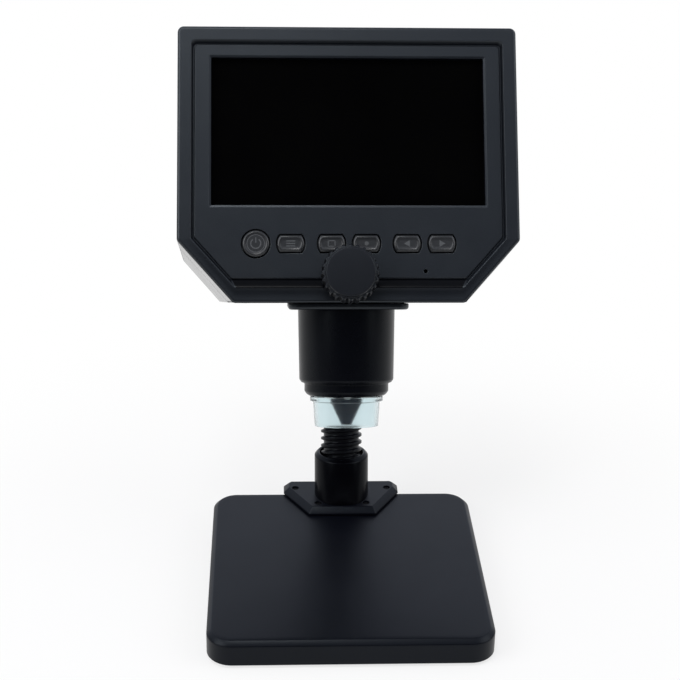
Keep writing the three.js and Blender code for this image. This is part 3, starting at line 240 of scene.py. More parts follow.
# %% Soft marks that hands leave
marks_group, given, out = new_group(
    "hand_marks",
    [("Roughness", 0.4), ("Spread", 0.08), ("Size", 55.0)],
    [("Roughness", "NodeSocketFloat")],
)
smear = object_texture(marks_group, given, "ShaderNodeTexNoise", in_Detail=5.0,
                       in_Roughness=0.65, in_Distortion=0.6)
centred = math_node(marks_group, "SUBTRACT", smear.outputs["Fac"], 0.5)
scaled = math_node(marks_group, "MULTIPLY", centred, given.outputs["Spread"])
doubled = math_node(marks_group, "MULTIPLY", scaled, 2.0)
summed = math_node(marks_group, "ADD", doubled, given.outputs["Roughness"])
marks_group.links.new(summed, out.inputs["Roughness"])
print("groups:", [g.name for g in bpy.data.node_groups])


# %% [markdown]
# ## Finishes
# Each finish of the object is one material: a Principled shader, the tone, the marks and the grain.
# What is the same all over, such as how much a surface mirrors, is set on the shader's own sockets.
# The screen mirrors nothing, because a lamp would show in it as a pale spot.


# %% Parts that materials share
def new_material(name):
    """A material with its node tree and its Principled shader."""
    material = bpy.data.materials.new(name)
    material.use_nodes = True
    return material, material.node_tree, material.node_tree.nodes["Principled BSDF"]


def add_tone(tree, shader, color, lighter):
    """Leads the melt's changes of tone to Base Color, and returns the colour's socket."""
    tone = add_node(tree, "ShaderNodeGroup", node_tree=tone_group, in_Color=(*color, 1),
                    in_Lighter=(*lighter, 1))
    tree.links.new(tone.outputs["Color"], shader.inputs["Base Color"])
    return tone.outputs["Color"]


def add_marks(tree, shader, roughness, spread):
    """Leads the marks that hands leave to Roughness."""
    marks = add_node(tree, "ShaderNodeGroup", node_tree=marks_group, in_Roughness=roughness,
                     in_Spread=spread)
    tree.links.new(marks.outputs["Roughness"], shader.inputs["Roughness"])


# %% A plastic or metal finish
COLD, BUMP_HEIGHT = (0.84, 0.93, 1.0, 1.0), 0.0001


def finish(name, color, lighter, roughness, gloss=0.5, cold=False, bump=0.25,
           grain=(2600.0, 0.35), spread=0.08, metallic=0.0):
    """One material: tone to Base Color, marks to Roughness, grain through a Bump to Normal. The
    gloss is how much it mirrors, and cold tints what it mirrors."""
    material, tree, shader = new_material(name)
    shader.inputs["Specular IOR Level"].default_value = gloss
    shader.inputs["Metallic"].default_value = metallic
    if cold:
        shader.inputs["Specular Tint"].default_value = COLD
    add_tone(tree, shader, color, lighter)
    add_marks(tree, shader, roughness, spread)
    size, depth = grain
    pattern = add_node(tree, "ShaderNodeGroup", node_tree=grain_group, in_Size=size, in_Depth=depth)
    relief = add_node(tree, "ShaderNodeBump", in_Strength=bump, in_Distance=BUMP_HEIGHT)
    tree.links.new(pattern.outputs["Height"], relief.inputs["Height"])
    tree.links.new(relief.outputs["Normal"], shader.inputs["Normal"])
    return material


# %% Finishes of the outside
case_black = finish("case_black", (0.0022, 0.0028, 0.0048), (0.0038, 0.0047, 0.0074), 0.36,
                    gloss=0.50, cold=True, bump=0.35)
# Glossier than the case, and lighter in colour: the lighter colour is a painted sheen on the cheeks
cheek_painted_sheen = finish("cheek_painted_sheen", (0.0050, 0.0060, 0.0080), (0.0075, 0.0088, 0.0115), 0.15,
                     bump=0.05)
# Painted shade: a darker, less glossy black for the chin's inner slope, so that it shows as a dark
# band
slope_painted_shade = finish("slope_painted_shade", (0.0012, 0.0014, 0.0024), (0.0020, 0.0024, 0.0036), 0.34,
                     gloss=0.10, bump=0.2)
base_black = finish("base_black", (0.0012, 0.0015, 0.0034), (0.0022, 0.0026, 0.0052), 0.34,
                    gloss=0.16, cold=True, grain=(3200.0, 0.4))
socket_black = finish("socket_black", (0.0006, 0.0006, 0.0014), (0.0012, 0.0012, 0.0022), 0.24,
                      gloss=0.08, cold=True, bump=0.08)
barrel_black = finish("barrel_black", (0.0014, 0.0016, 0.0028), (0.0022, 0.0025, 0.0040), 0.28,
                      gloss=0.12, cold=True, bump=0.10)
rod_black = finish("rod_black", (0.0016, 0.0016, 0.0026), (0.0028, 0.0028, 0.0042), 0.32,
                   gloss=0.14, cold=True, bump=0.15)
knob_black = finish("knob_black", (0.0044, 0.0048, 0.0070), (0.0066, 0.0072, 0.0100), 0.40,
                    gloss=0.24, cold=True, bump=0.3)
key_grey = finish("key_grey", (0.0095, 0.0105, 0.0125), (0.0140, 0.0152, 0.0175), 0.32, bump=0.2)
icon_grey = finish("icon_grey", (0.042, 0.045, 0.050), (0.056, 0.060, 0.066), 0.5, bump=0.15)
hood_black = finish("hood_black", (0.0075, 0.0115, 0.0200), (0.0100, 0.0150, 0.0260), 0.5,
                    gloss=0.1, bump=0.2)
screen_black = finish("screen_black", (0.0008, 0.0008, 0.0009), (0.0012, 0.0012, 0.0013), 0.09,
                      gloss=0.0, bump=0.01, grain=(300.0, 0.1), spread=0.03)
screw_black = finish("screw_black", (0.002, 0.002, 0.003), (0.004, 0.004, 0.005), 0.6,
                     gloss=0.08, bump=0.2)

# %% Finishes of the underside and the inside
inner_black = finish("inner_black", (0.006, 0.006, 0.007), (0.009, 0.009, 0.010), 0.7,
                     gloss=0.02, bump=0.2)
pad_rubber = finish("pad_rubber", (0.010, 0.010, 0.010), (0.015, 0.015, 0.015), 0.85,
                    bump=0.6, grain=(900.0, 1.0))
board_green = finish("board_green", (0.010, 0.075, 0.030), (0.014, 0.10, 0.040), 0.45,
                     bump=0.3, grain=(1500.0, 0.6))
board_white = finish("board_white", (0.75, 0.76, 0.74), (0.82, 0.83, 0.81), 0.5, bump=0.15)
steel = finish("steel", (0.48, 0.49, 0.51), (0.58, 0.59, 0.61), 0.34, grain=(1800.0, 0.5),
               metallic=1.0)
foil = finish("foil", (0.50, 0.51, 0.53), (0.62, 0.63, 0.65), 0.4, bump=0.5,
              grain=(420.0, 1.2), metallic=0.9)
flex_film = finish("flex_film", (0.30, 0.13, 0.02), (0.40, 0.18, 0.03), 0.35, bump=0.15)
print("finishes:", len(bpy.data.materials))


# %% [markdown]
# The shroud is clear plastic with a frosted skin. The near wall only softens what is behind it. The
# far wall is seen from inside, against the light ground, and its frost spreads so much light that
# nothing behind it shows: there a pale glow, painted light in place of the light that the frost
# spreads, takes the place of the clear shader. Only the dark hood between the two walls is left, as
# a soft shape.

# %% Frosted shroud and clear lens
FAR_WALL_COVER, FAR_WALL_PAINTED_GLOW = 0.9, 0.95


def clear_finish(name, bending, color, lighter, roughness, spread):
    """A clear material, tinted by the tone; bending is its index of refraction."""
    material, tree, shader = new_material(name)
    shader.inputs["Transmission Weight"].default_value = 1.0
    shader.inputs["IOR"].default_value = bending
    tone = add_tone(tree, shader, color, lighter)
    add_marks(tree, shader, roughness, spread)
    return material, tree, shader, tone


lens_clear = clear_finish("lens_clear", 1.5, (0.90, 0.95, 0.98), (0.94, 0.97, 1.0), 0.03, 0.01)[0]
frosted, tree, shader, tone = clear_finish("frosted_clear", 1.30, (0.79, 0.88, 0.90),
                                           (0.84, 0.92, 0.94), 0.20, 0.05)
path = add_node(tree, "ShaderNodeLightPath")
side_seen = add_node(tree, "ShaderNodeNewGeometry")
outside = math_node(tree, "SUBTRACT", 1.0, side_seen.outputs["Backfacing"])
far_wall = math_node(tree, "MULTIPLY", path.outputs["Is Transmission Ray"], outside)
covered = math_node(tree, "MULTIPLY", far_wall, FAR_WALL_COVER)
# Painted light: a glow on the far wall in place of the light that its frost spreads
glow = add_node(tree, "ShaderNodeEmission", in_Strength=FAR_WALL_PAINTED_GLOW)
tree.links.new(tone, glow.inputs["Color"])
mixed = mix_shaders(tree, covered, shader.outputs[0], glow.outputs[0])
tree.links.new(mixed, tree.nodes["Material Output"].inputs["Surface"])
print("clear finishes:", lens_clear.name, frosted.name)

# %% [markdown]
# ## Surfaces from numbers
# A shape here is a stack of rings. Each ring has the same number of points, so a whole surface is
# one array: ring by ring, point by point. Neighbouring rings make a strip of four-sided faces, and
# the first and last ring are either closed with a flat face or joined to each other.


# %% Rings to faces
class Shell:
    """Collects closed surfaces, so that one piece can hold several of them."""

    def __init__(self):
        self.points, self.faces, self.smooth = [], [], []
        self.count = 0

    def add(self, points, faces, smooth):
        """Adds points (n, 3) and faces given as lists of point numbers, with one flag per face."""
        self.points.append(np.asarray(points, float))
        self.faces += [[i + self.count for i in face] for face in faces]
        self.smooth += list(smooth)
        self.count += len(points)

    def rings(self, rings, joined=False, smooth=True):
        """rings is (m, n, 3). Face k of strip j joins points k and k+1 of rings j and j+1."""
        rings = np.asarray(rings, float)
        m, n = rings.shape[:2]
        number = np.arange(m * n).reshape(m, n)
        ahead = np.roll(number, -1, axis=1)
        above = np.roll(number, -1, axis=0)
        corner = np.roll(above, -1, axis=1)
        rows = slice(None) if joined else slice(0, m - 1)
        quads = np.stack([number[rows], ahead[rows], corner[rows], above[rows]], -1)
        faces = quads.reshape(-1, 4).tolist()
        flags = [smooth] * len(faces)
        if not joined:
            faces += [number[0][::-1].tolist(), number[-1].tolist()]
            flags += [False, False]
        points = rings.reshape(-1, 3)
        if signed_volume(points, faces) < 0:
            faces = [face[::-1] for face in faces]
        self.add(points, faces, flags)
        return self


def signed_volume(points, faces):
    """Sum over the faces of the volume between a face's fan of triangles and the mean of all
    points, times six."""
    middle = points.mean(0)
    total = 0.0
    for face in faces:
        p = points[face] - middle
        across = np.cross(p[1:-1], p[2:])
        total += np.einsum("ij,ij->", np.broadcast_to(p[0], across.shape), across)
    return total


def piece(name, shell, place, material, body, stands_for=(), crease=32):
    """Makes the mesh, places it, puts it on the body that it rides on, and hides the solids that it
    stands for.
    """
    mesh = bpy.data.meshes.new(name)
    points = place(np.concatenate(shell.points))
    mesh.from_pydata(points.tolist(), [], shell.faces)
    mesh.set_sharp_from_angle(angle=math.radians(crease))
    mesh.polygons.foreach_set("use_smooth", np.array(shell.smooth, bool))
    mesh.materials.append(material)
    thing = bpy.data.objects.new(name, mesh)
    bpy.context.scene.collection.objects.link(thing)
    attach(thing, body)
    if stands_for:
        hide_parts(*stands_for)
    print(f"{name}: {len(points)} points, {len(shell.faces)} faces")
    return thing


# %% [markdown]
# ## Outlines
# Most parts are flat outlines with rounded corners that were given a thickness. An outline is
# worked out from straight sides, each moved in by its own distance, and an arc in every corner.


# %% Outline with rounded corners
def outline(corners, insets, radii, arc=6):
    """Moves side i (from corner i to i+1) inwards by insets[i], finds the new corners where
    neighbouring sides meet, and replaces each by an arc of its radius, arc + 1 points long."""
    corners = np.asarray(corners, float)
    count = len(corners)
    insets = np.broadcast_to(np.asarray(insets, float), count)
    radii = np.broadcast_to(np.asarray(radii, float), count)
    along = np.roll(corners, -1, axis=0) - corners
    along /= np.linalg.norm(along, axis=1, keepdims=True)
    inward = np.stack([-along[:, 1], along[:, 0]], 1)
    offset = np.einsum("ij,ij->i", inward, corners) + insets
    last_inward, last_offset = np.roll(inward, 1, axis=0), np.roll(offset, 1)
    cross = last_inward[:, 0] * inward[:, 1] - last_inward[:, 1] * inward[:, 0]
    met = np.stack([
        (last_offset * inward[:, 1] - offset * last_inward[:, 1]) / cross,
        (last_inward[:, 0] * offset - inward[:, 0] * last_offset) / cross,
    ], 1)
    half = np.arccos(np.clip(-np.einsum("ij,ij->i", np.roll(along, 1, axis=0), along), -1, 1)) / 2
    sign = np.where(cross >= 0, 1.0, -1.0)
    both = inward + last_inward
    to_middle = both / np.linalg.norm(both, axis=1, keepdims=True)
    middle = met + to_middle * (sign * radii / np.sin(half))[:, None]
    first = np.arctan2(-last_inward[:, 1] * sign, -last_inward[:, 0] * sign)
    sweep = sign * (math.pi - 2 * half)
    steps = first[:, None] + sweep[:, None] * np.linspace(0, 1, arc + 1)[None, :]
    arcs = np.stack([np.cos(steps), np.sin(steps)], -1)
    return (middle[:, None, :] + radii[:, None, None] * arcs).reshape(-1, 2)


def box_outline(width, height, radius, x=0.0, y=0.0, inset=0.0, arc=6):
    """A rectangle about x, y with rounded corners."""
    w, h = width / 2, height / 2
    corners = [[x - w, y - h], [x + w, y - h], [x + w, y + h], [x - w, y + h]]
    return outline(corners, inset, max(radius - inset, 0.02), arc)


def circle(radius, x=0.0, y=0.0, sides=48):
    """Points at equal angles round x, y."""
    angle = np.linspace(0, 2 * math.pi, sides, endpoint=False)
    return np.stack([x + radius * np.cos(angle), y + radius * np.sin(angle)], 1)


def lifted(ring, height):
    """A flat ring at a height."""
    ring = np.asarray(ring, float)
    return np.concatenate([ring, np.full((len(ring), 1), float(height))], 1)


def grown(ring, distance):
    """Moves each point along the average of its two sides' outward directions, by distance over the
    cosine of half the corner's turn, for a ring that runs anticlockwise."""
    ahead = np.roll(ring, -1, axis=0) - ring
    behind = ring - np.roll(ring, 1, axis=0)
    ahead /= np.linalg.norm(ahead, axis=1, keepdims=True)
    behind /= np.linalg.norm(behind, axis=1, keepdims=True)
    outward = np.stack([ahead[:, 1] + behind[:, 1], -ahead[:, 0] - behind[:, 0]], 1)
    outward /= np.linalg.norm(outward, axis=1, keepdims=True)
    cosine = outward[:, 0] * ahead[:, 1] - outward[:, 1] * ahead[:, 0]
    return ring + outward * (distance / np.maximum(cosine, 0.3))[:, None]


# %% Flat plate with holes
def plate(shell, outer, holes, low, high, edge=0.3, hole_edge=0.2, low_edge=None, steps=3,
          walls=None):
    """A plate between two heights. Each rim is rounded by a quarter circle: for angle a from 0 to
    90 degrees the ring moves in by edge (1 - cos a) and up by edge sin a, or else the outer rim is
    the given walls, ring by ring from below. The flats are cut into triangles that leave the holes
    out."""
    low_edge = edge if low_edge is None else low_edge
    loops = [(np.asarray(outer, float), edge, low_edge, -1.0)]
    loops += [(np.asarray(hole, float), hole_edge, min(hole_edge, low_edge), 1.0) for hole in holes]
    points, faces, flags, tops, bottoms = [], [], [], [], []
    start = 0
    for ring, top_edge, bottom_edge, side_sign in loops:
        rows = []
        for radius, height, way in ((bottom_edge, low, 1.0), (top_edge, high, -1.0)):
            angles = np.linspace(0, math.pi / 2, steps + 1)
            if way > 0:
                angles = angles[::-1]
            if radius == 0:
                angles = angles[:1]
            for angle in angles:
                # At 90 degrees the ring is on the flat, and at 0 on the wall
                inward = radius * (1 - math.cos(angle))
                level = height + way * radius * (1 - math.sin(angle))
                rows.append(lifted(grown(ring, side_sign * inward), level))
        rows = np.array(walls if walls is not None and side_sign < 0 else rows)
        m, n = rows.shape[:2]
        number = np.arange(m * n).reshape(m, n) + start
        ahead = np.roll(number, -1, axis=1)
        quads = np.stack([number[:-1], ahead[:-1], ahead[1:], number[1:]], -1)
        quads = quads.reshape(-1, 4)
        if side_sign > 0:
            quads = quads[:, ::-1]
        faces += quads.tolist()
        flags += [True] * len(quads)
        bottoms.append((rows[0], number[0]))
        tops.append((rows[-1], number[-1]))
        points.append(rows.reshape(-1, 3))
        start += m * n
    for level, upward in ((tops, True), (bottoms, False)):
        triangles = tessellate_polygon([[Vector(p) for p in ring] for ring, _ in level])
        numbers = np.concatenate([number for _, number in level])
        places = np.concatenate([ring for ring, _ in level])
        for triangle in triangles:
            a, b, c = (places[i] for i in triangle)
            turn_z = (b[0] - a[0]) * (c[1] - a[1]) - (b[1] - a[1]) * (c[0] - a[0])
            if abs(turn_z) < 1e-9:
                continue
            order = triangle if (turn_z > 0) == upward else triangle[::-1]
            faces.append([int(numbers[i]) for i in order])
            flags.append(False)
    shell.add(np.concatenate(points), faces, flags)
    return shell


# %% Turned, rounded and gripped profiles
def turned(profile, sides=128, x=0.0, y=0.0):
    """Rings of radius r at height z for each (r, z) of the profile, about the axis through x, y."""
    profile = np.asarray(profile, float)
    ring = circle(1.0, sides=sides)
    flat = profile[:, 0][:, None, None] * ring[None] + np.array([x, y])
    height = np.broadcast_to(profile[:, 1][:, None, None], (*flat.shape[:2], 1))
    return np.concatenate([flat, height], -1)


def softened(profile, radius=0.25, steps=3, closed=True):
    """Replaces every corner of a (r, z) polygon by a short curve: a weighted mean of the corner and
    of points at the given distance before and after it (a quadratic curve)."""
    p = np.asarray(profile, float)
    before, after = np.roll(p, 1, axis=0) - p, np.roll(p, -1, axis=0) - p
    reach = []
    for way in (before, after):
        length = np.linalg.norm(way, axis=1, keepdims=True)
        reach.append(way / length * np.minimum(radius, length * 0.45))
    t = np.linspace(0, 1, steps + 1)[None, :, None]
    start, end, corner = (p + reach[0])[:, None], (p + reach[1])[:, None], p[:, None]
    curve = (1 - t) ** 2 * start + 2 * t * (1 - t) * corner + t**2 * end
    if closed:
        return curve.reshape(-1, 2)
    return np.concatenate([p[:1], curve[1:-1].reshape(-1, 2), p[-1:]])


def gripped(rings, ridges, inner, run, depth, sharpness, below=math.inf):
    """Presses grooves between the ridges of a turned shape. The radius loses depth times a wave
    round the axis, cut flat at both ends, times the share of the run outwards from the inner
    radius."""
    distance = np.hypot(rings[..., 0], rings[..., 1])
    angle = np.arctan2(rings[..., 1], rings[..., 0])
    outer = np.clip((distance - inner) / run, 0, 1) * (rings[..., 2] < below)
    wave = 0.5 - 0.5 * np.clip(sharpness * np.cos(ridges * angle), -1, 1)
    rings[..., :2] *= (1 - depth * outer * wave / np.maximum(distance, 1))[..., None]
    return rings


print("helpers ready")

# %% [markdown]
# ## The base
# The base is a shallow moulded box turned upside down: a flat top for the specimen, rounded corners
# and a soft top edge. One run of rings goes from the flat of the top over the edge, down the
# outside, round the rim and up the inside, and a flat face closes each end.

# %% Base shell
BASE_SIZE, BASE_TOP, BASE_FLOOR, BASE_CORNER = 100.0, 10.3, 0.9, 9.0
wall, roof = 2.2, 2.6
top_rows = [(3.5, 0.0), (1.95, 0.0), (1.75, 0.03), (1.55, 0.13), (0.17, 1.42), (0.06, 1.58),
            (0.0, 1.78), (0.0, 2.3)]
rows = [(inset, BASE_TOP - drop) for inset, drop in top_rows]
rows += [(0.0, BASE_FLOOR + 0.3), (0.15, BASE_FLOOR + 0.08), (0.4, BASE_FLOOR), (wall, BASE_FLOOR),
         (wall, BASE_TOP - roof)]
base_rings = [
    lifted(box_outline(BASE_SIZE, BASE_SIZE, BASE_CORNER, inset=inset, arc=12), level)
    for inset, level in rows
]
piece("base_top_shell", Shell().rings(base_rings), on_table, base_black, "base", ["base_shell"])

# %% [markdown]
# ## The column foot
# The foot is a plate with cut-off front corners and a leaning socket. The plate is an outline with
# four screw holes. The socket is turned in the rod's own place, and its rim is sloped: from 6 mm up
# every point rises in proportion to how far back it is, and below that by less and less.

# %% Foot plate
FOOT_LOW, FOOT_HIGH, FOOT_REAR = 10.6, 13.4, 55.3
foot = Shell()
foot_corners = [[-12.85, 31.8], [12.85, 31.8], [22.6, 48.2], [22.6, 53.1], [20.4, FOOT_REAR],
                [-20.4, FOOT_REAR], [-22.6, 53.1], [-22.6, 48.2]]
foot_rows = [(0.15, 0.0), (0.0, 0.15), (0.0, 0.5), (0.04, 0.68), (0.16, 0.86), (1.92, 2.6),
             (2.06, 2.72), (2.26, 2.8)]
foot_walls = [lifted(outline(foot_corners, inset, 0.5, 3), FOOT_LOW + rise)
              for inset, rise in foot_rows]
screw_places = [(-18.0, 48.1), (18.0, 48.1), (-9.2, 36.7), (9.2, 36.7)]
SCREW_HOLE = 1.35
screw_holes = [circle(SCREW_HOLE, x, y, 24) for x, y in screw_places]
plate(foot, foot_walls[-1][:, :2], screw_holes, FOOT_LOW, FOOT_HIGH, hole_edge=0.15,
      walls=foot_walls)
foot_count, foot_faces = foot.count, len(foot.faces)
print("foot plate:", foot_count, "points")

# %% Socket on the plate
SOCKET_RADIUS, SOCKET_RIM, SOCKET_SLOPE, BORE = 10.5, 14.9, math.tan(math.radians(14)), 8.3
SOCKET_SIDES, SOCKET_FRONT, SLOPE_FULL, FLAT_BELOW = 96, 0.0343, 6.0, -3.4
socket_profile = softened([
    (0.4, 0.7), (0.4, -8.0), (SOCKET_RADIUS, -8.0), (SOCKET_RADIUS, SOCKET_RIM - 1.25),
    (SOCKET_RADIUS - 1.2, SOCKET_RIM), (BORE + 0.45, SOCKET_RIM), (BORE, SOCKET_RIM - 0.4),
    (BORE, 0.7),
], 0.3)
# One more row, so that only the lowest part of the wall is flat in front
on_wall = (socket_profile[:, 0] > SOCKET_RADIUS - 0.01) & (socket_profile[:, 1] > 0)
wall_row = int(np.argmax(on_wall))
socket_profile = np.insert(socket_profile, wall_row, [[SOCKET_RADIUS, FLAT_BELOW]], axis=0)
socket = turned(socket_profile, SOCKET_SIDES)
sloped = np.clip(socket[..., 2] / SLOPE_FULL, 0, 1)
socket[..., 2] += sloped * socket[..., 1] * SOCKET_SLOPE
# Height above the table is the rod foot's height + cos(lean) z - sin(lean) y, and no point goes
# below the plate's underside
under = (FOOT_LOW + 0.05 - ROD_FOOT[2] + math.sin(LEAN) * socket[..., 1]) / math.cos(LEAN)
socket[..., 2] = np.maximum(socket[..., 2], under)


def foot_place(points):
    """The plate's points are already upright, and the socket's lean with the rod. The socket's
    foot is flat in front, so that it stays on the plate."""
    upright, leaning = on_table(points[:foot_count]), on_column(points[foot_count:])
    leaning[:, 1] = np.maximum(leaning[:, 1], SOCKET_FRONT)
    return np.concatenate([upright, leaning])


foot.rings(socket, joined=True)
foot_thing = piece("column_foot_moulding", foot, foot_place, base_black, "base", ["column_foot"])

# %% Finishes of the socket
foot_thing.data.materials.append(socket_black)
foot_thing.data.materials.append(inner_black)
# The strips whose two rings are both inside the bore are dull, as painted shade for the dark inside
# of the bore, and the rest of the socket is glossy
narrow = socket_profile[:, 0] < BORE + 0.1
strip_finish = np.where(narrow & np.roll(narrow, -1), 2, 1)
face_finish = np.concatenate([np.zeros(foot_faces), np.repeat(strip_finish, SOCKET_SIDES)])
foot_thing.data.polygons.foreach_set("material_index", face_finish.astype(np.int32))
print("dull faces:", int((face_finish == 2).sum()))

# %% [markdown]
# ## The threaded rod
# The thread is one ridge wound round the rod. At height z and angle a, the phase z / pitch minus
# a / full turn says where in the ridge a point lies, and the radius follows from it: root, flank,
# crest, flank. Rounded by a smooth step it catches the light as a moulded thread does.

# %% Threaded rod
CREST, ROOT, PITCH, ROD_END = 8.0, 6.9, 2.8, 124.0
THREAD_ROWS, THREAD_SIDES, THREAD_START, THREAD_FADE = 14, 64, 8.0, 1.5
# In shares of the pitch: the middle of the ridge, half its width and the width of a flank
RIDGE_MIDDLE, RIDGE_HALF, FLANK = 0.66, 0.34, 0.20
heights = np.arange(1.0, ROD_END, PITCH / THREAD_ROWS)
angles = np.linspace(0, 2 * math.pi, THREAD_SIDES, endpoint=False)
phase = np.mod(heights[:, None] / PITCH - angles[None, :] / (2 * math.pi), 1.0)
ridge = np.clip((RIDGE_HALF - np.abs(phase - RIDGE_MIDDLE)) / FLANK, 0, 1)
ridge = ridge**2 * (3 - 2 * ridge)
fade = np.clip((heights - THREAD_START) / THREAD_FADE, 0, 1)
fade *= np.clip((ROD_END - 0.6 - heights) / THREAD_FADE, 0, 1)
radius = ROOT + (CREST - ROOT) * ridge * fade[:, None]
level = np.broadcast_to(heights[:, None], radius.shape)
thread = np.stack([radius * np.cos(angles), radius * np.sin(angles), level], -1)
piece("threaded_rod_metal", Shell().rings(thread), on_column, rod_black, "base", ["threaded_rod"],
      crease=50)

# %% Rod cap
cap_profile = softened([
    (0.4, 124.3), (8.3, 124.3), (8.3, 118.0), (9.3, 118.0), (9.3, 126.4), (8.6, 127.0),
    (0.4, 127.0),
], 0.5, 4, closed=False)
piece("rod_end_cap", Shell().rings(turned(cap_profile)), on_column, knob_black, "base",
      ["rod_cap"])

# %% [markdown]
# ## Bracket, height nut and bush
# The bracket is one moulding: a thin plate under the head, a sleeve that slides on the rod, and two
# ribs between them. The nut under the sleeve has grip ridges, which are a wave of the radius round
# the axis. The wave fades out inwards, so that each groove ends softly at the rounded corners.

# %% Bracket
BARREL_HOLE, HOLDER_LOW, HOLDER_HIGH = 19.2, 71.4, 73.6
arm = Shell()
holder_corners = [[-21.4, -62.7], [21.4, -62.7], [21.4, -23.8], [12.0, -6.0], [-12.0, -6.0],
                  [-21.4, -23.8]]
holder = outline(holder_corners, 0.0, [4.0, 4.0, 3.0, 0.5, 0.5, 3.0], arc=8)
barrel_hole = circle(BARREL_HOLE, 0, HEAD_ON_COLUMN[1], 96)
plate(arm, holder, [barrel_hole], HOLDER_LOW, HOLDER_HIGH, edge=0.4, low_edge=1.0, steps=4)
sleeve = softened([(BORE, 62.0), (12.0, 62.0), (12.0, 84.0), (BORE, 84.0)], 0.6, 4)
arm.rings(turned(sleeve, 96), joined=True)
rib = outline([[-23.8, 62.4], [-9.0, 62.4], [-9.0, 73.2], [-23.8, 73.2]], 0.0, 0.4, arc=3)
for rib_side in (-7.5, 7.5):
    rib_rings = np.stack([
        np.stack([np.full(len(rib), rib_side + shift), rib[:, 0], rib[:, 1]], -1)
        for shift in (-1.5, 1.5)
    ])
    arm.rings(rib_rings, smooth=False)
piece("bracket_moulding", arm, on_column, case_black, "carriage", ["carriage_arm"])

# %% Height nut
NUT_LOW, NUT_HIGH, NUT_RADIUS, NUT_RIDGES = 49.7, 61.7, 14.6, 24
nut_profile = softened([
    (8.6, NUT_LOW), (NUT_RADIUS, NUT_LOW), (NUT_RADIUS, NUT_HIGH), (8.6, NUT_HIGH),
], 0.9, 5)
nut = gripped(turned(nut_profile, NUT_RIDGES * 10), NUT_RIDGES, inner=13.2, run=1.4, depth=0.6,
              sharpness=1.6)
piece("height_nut_grip", Shell().rings(nut, joined=True), on_column, knob_black, "nut",
      ["height_nut"])

# %% Bush
bush = softened([(18.0, -2.5), (18.9, -2.5), (18.9, -0.3), (18.0, -0.3)], 0.2)
piece("barrel_bush", Shell().rings(turned(bush), joined=True), on_head, pad_rubber, "bush",
      ["holder_bush"])

# %% [markdown]
# ## The head's front
# The front is a frame with a raised rim and a sunken panel. The lower corners are cut off. The
# chin's inner edge is a wide slope, which shows as a dark band: with the face's own finish it came
# out light, so it has a darker one, which is painted shade. Below it the chin's bar looks down a
# little. The frame is one run of rings, from its back edge over the rim and down to the panel. The
# panel is a plate with holes for the window, the keys, the knob's shaft and the reset pin.

# %% Head outline
HALF, FACE_HEIGHT, CHEEK_WIDTH, CHEEK_HEIGHT = 60.4, 99.6, 19.85, 22.3
BEZEL_DEPTH, HEAD_WALL, RECESS, PANEL_BACK, GROOVE = 15.0, 2.2, 1.3, 3.5, 1.9
head_corners = np.array([
    [-HALF + CHEEK_WIDTH, 0], [HALF - CHEEK_WIDTH, 0], [HALF, CHEEK_HEIGHT], [HALF, FACE_HEIGHT],
    [-HALF, FACE_HEIGHT], [-HALF, CHEEK_HEIGHT],
])
head_radii = np.array([2.0, 2.0, 2.0, 2.2, 2.2, 2.0])
# Sides in order: chin, right cheek, right side, top, left side, left cheek
RIM = np.array([8.5, 4.9, 5.6, 6.0, 5.6, 4.9])
SLOPE = np.array([3.2, 1.0, 0.8, 1.0, 0.8, 1.0])


def head_ring(insets, depth, radii=head_radii, arc=6):
    """The head's outline at a depth behind the face. The bottom is square to the barrel, so it
    climbs by the tangent of the wedge for each millimetre of depth."""
    insets = np.broadcast_to(np.asarray(insets, float), 6).copy()
    insets[0] += max(depth, 0.0) * math.tan(WEDGE)
    return lifted(outline(head_corners, insets, radii, arc), -depth)


# %% Rings of the front's frame
FRONT_EDGE, BACK_EDGE = 1.1, 0.15
rows = [(BACK_EDGE, BEZEL_DEPTH), (0.0, BEZEL_DEPTH - BACK_EDGE), (0.0, FRONT_EDGE)]
rows += [(FRONT_EDGE * (1 - math.sin(a)), FRONT_EDGE * (1 - math.cos(a)))
         for a in np.linspace(math.pi / 2, 0, 7)[1:]]
frame_rings = [head_ring(inset, depth, np.maximum(head_radii - inset, 0.4))
               for inset, depth in rows]
inner_radii = np.array([1.2, 1.2, 1.0, 1.6, 1.6, 1.0])
flat_width = RIM - SLOPE - FRONT_EDGE
frame_rings += [head_ring(FRONT_EDGE + share * flat_width, 0.0, inner_radii)
                for share in (0.03, 0.2, 0.4, 0.6, 0.8, 0.97)]
slope_start = len(frame_rings) - 1
slope_rows = [(0.0, 0.0), (0.10, 0.05), (0.22, 0.20), (0.45, 0.60), (0.70, 1.15), (0.88, 1.60),
              (0.96, GROOVE)]
frame_rings += [head_ring(RIM - SLOPE * (1 - share), depth, inner_radii)
                for share, depth in slope_rows]
slope_end = len(frame_rings)
frame_rings += [head_ring(RIM + 0.8, GROOVE, inner_radii),
                head_ring(RIM + 0.8, PANEL_BACK - 0.1, inner_radii),
                head_ring(HEAD_WALL, PANEL_BACK - 0.1, 0.5),
                head_ring(HEAD_WALL, BEZEL_DEPTH, 0.5)]
frame_rings = np.array(frame_rings)
print("frame:", frame_rings.shape[0], "rings of", frame_rings.shape[1], "points")

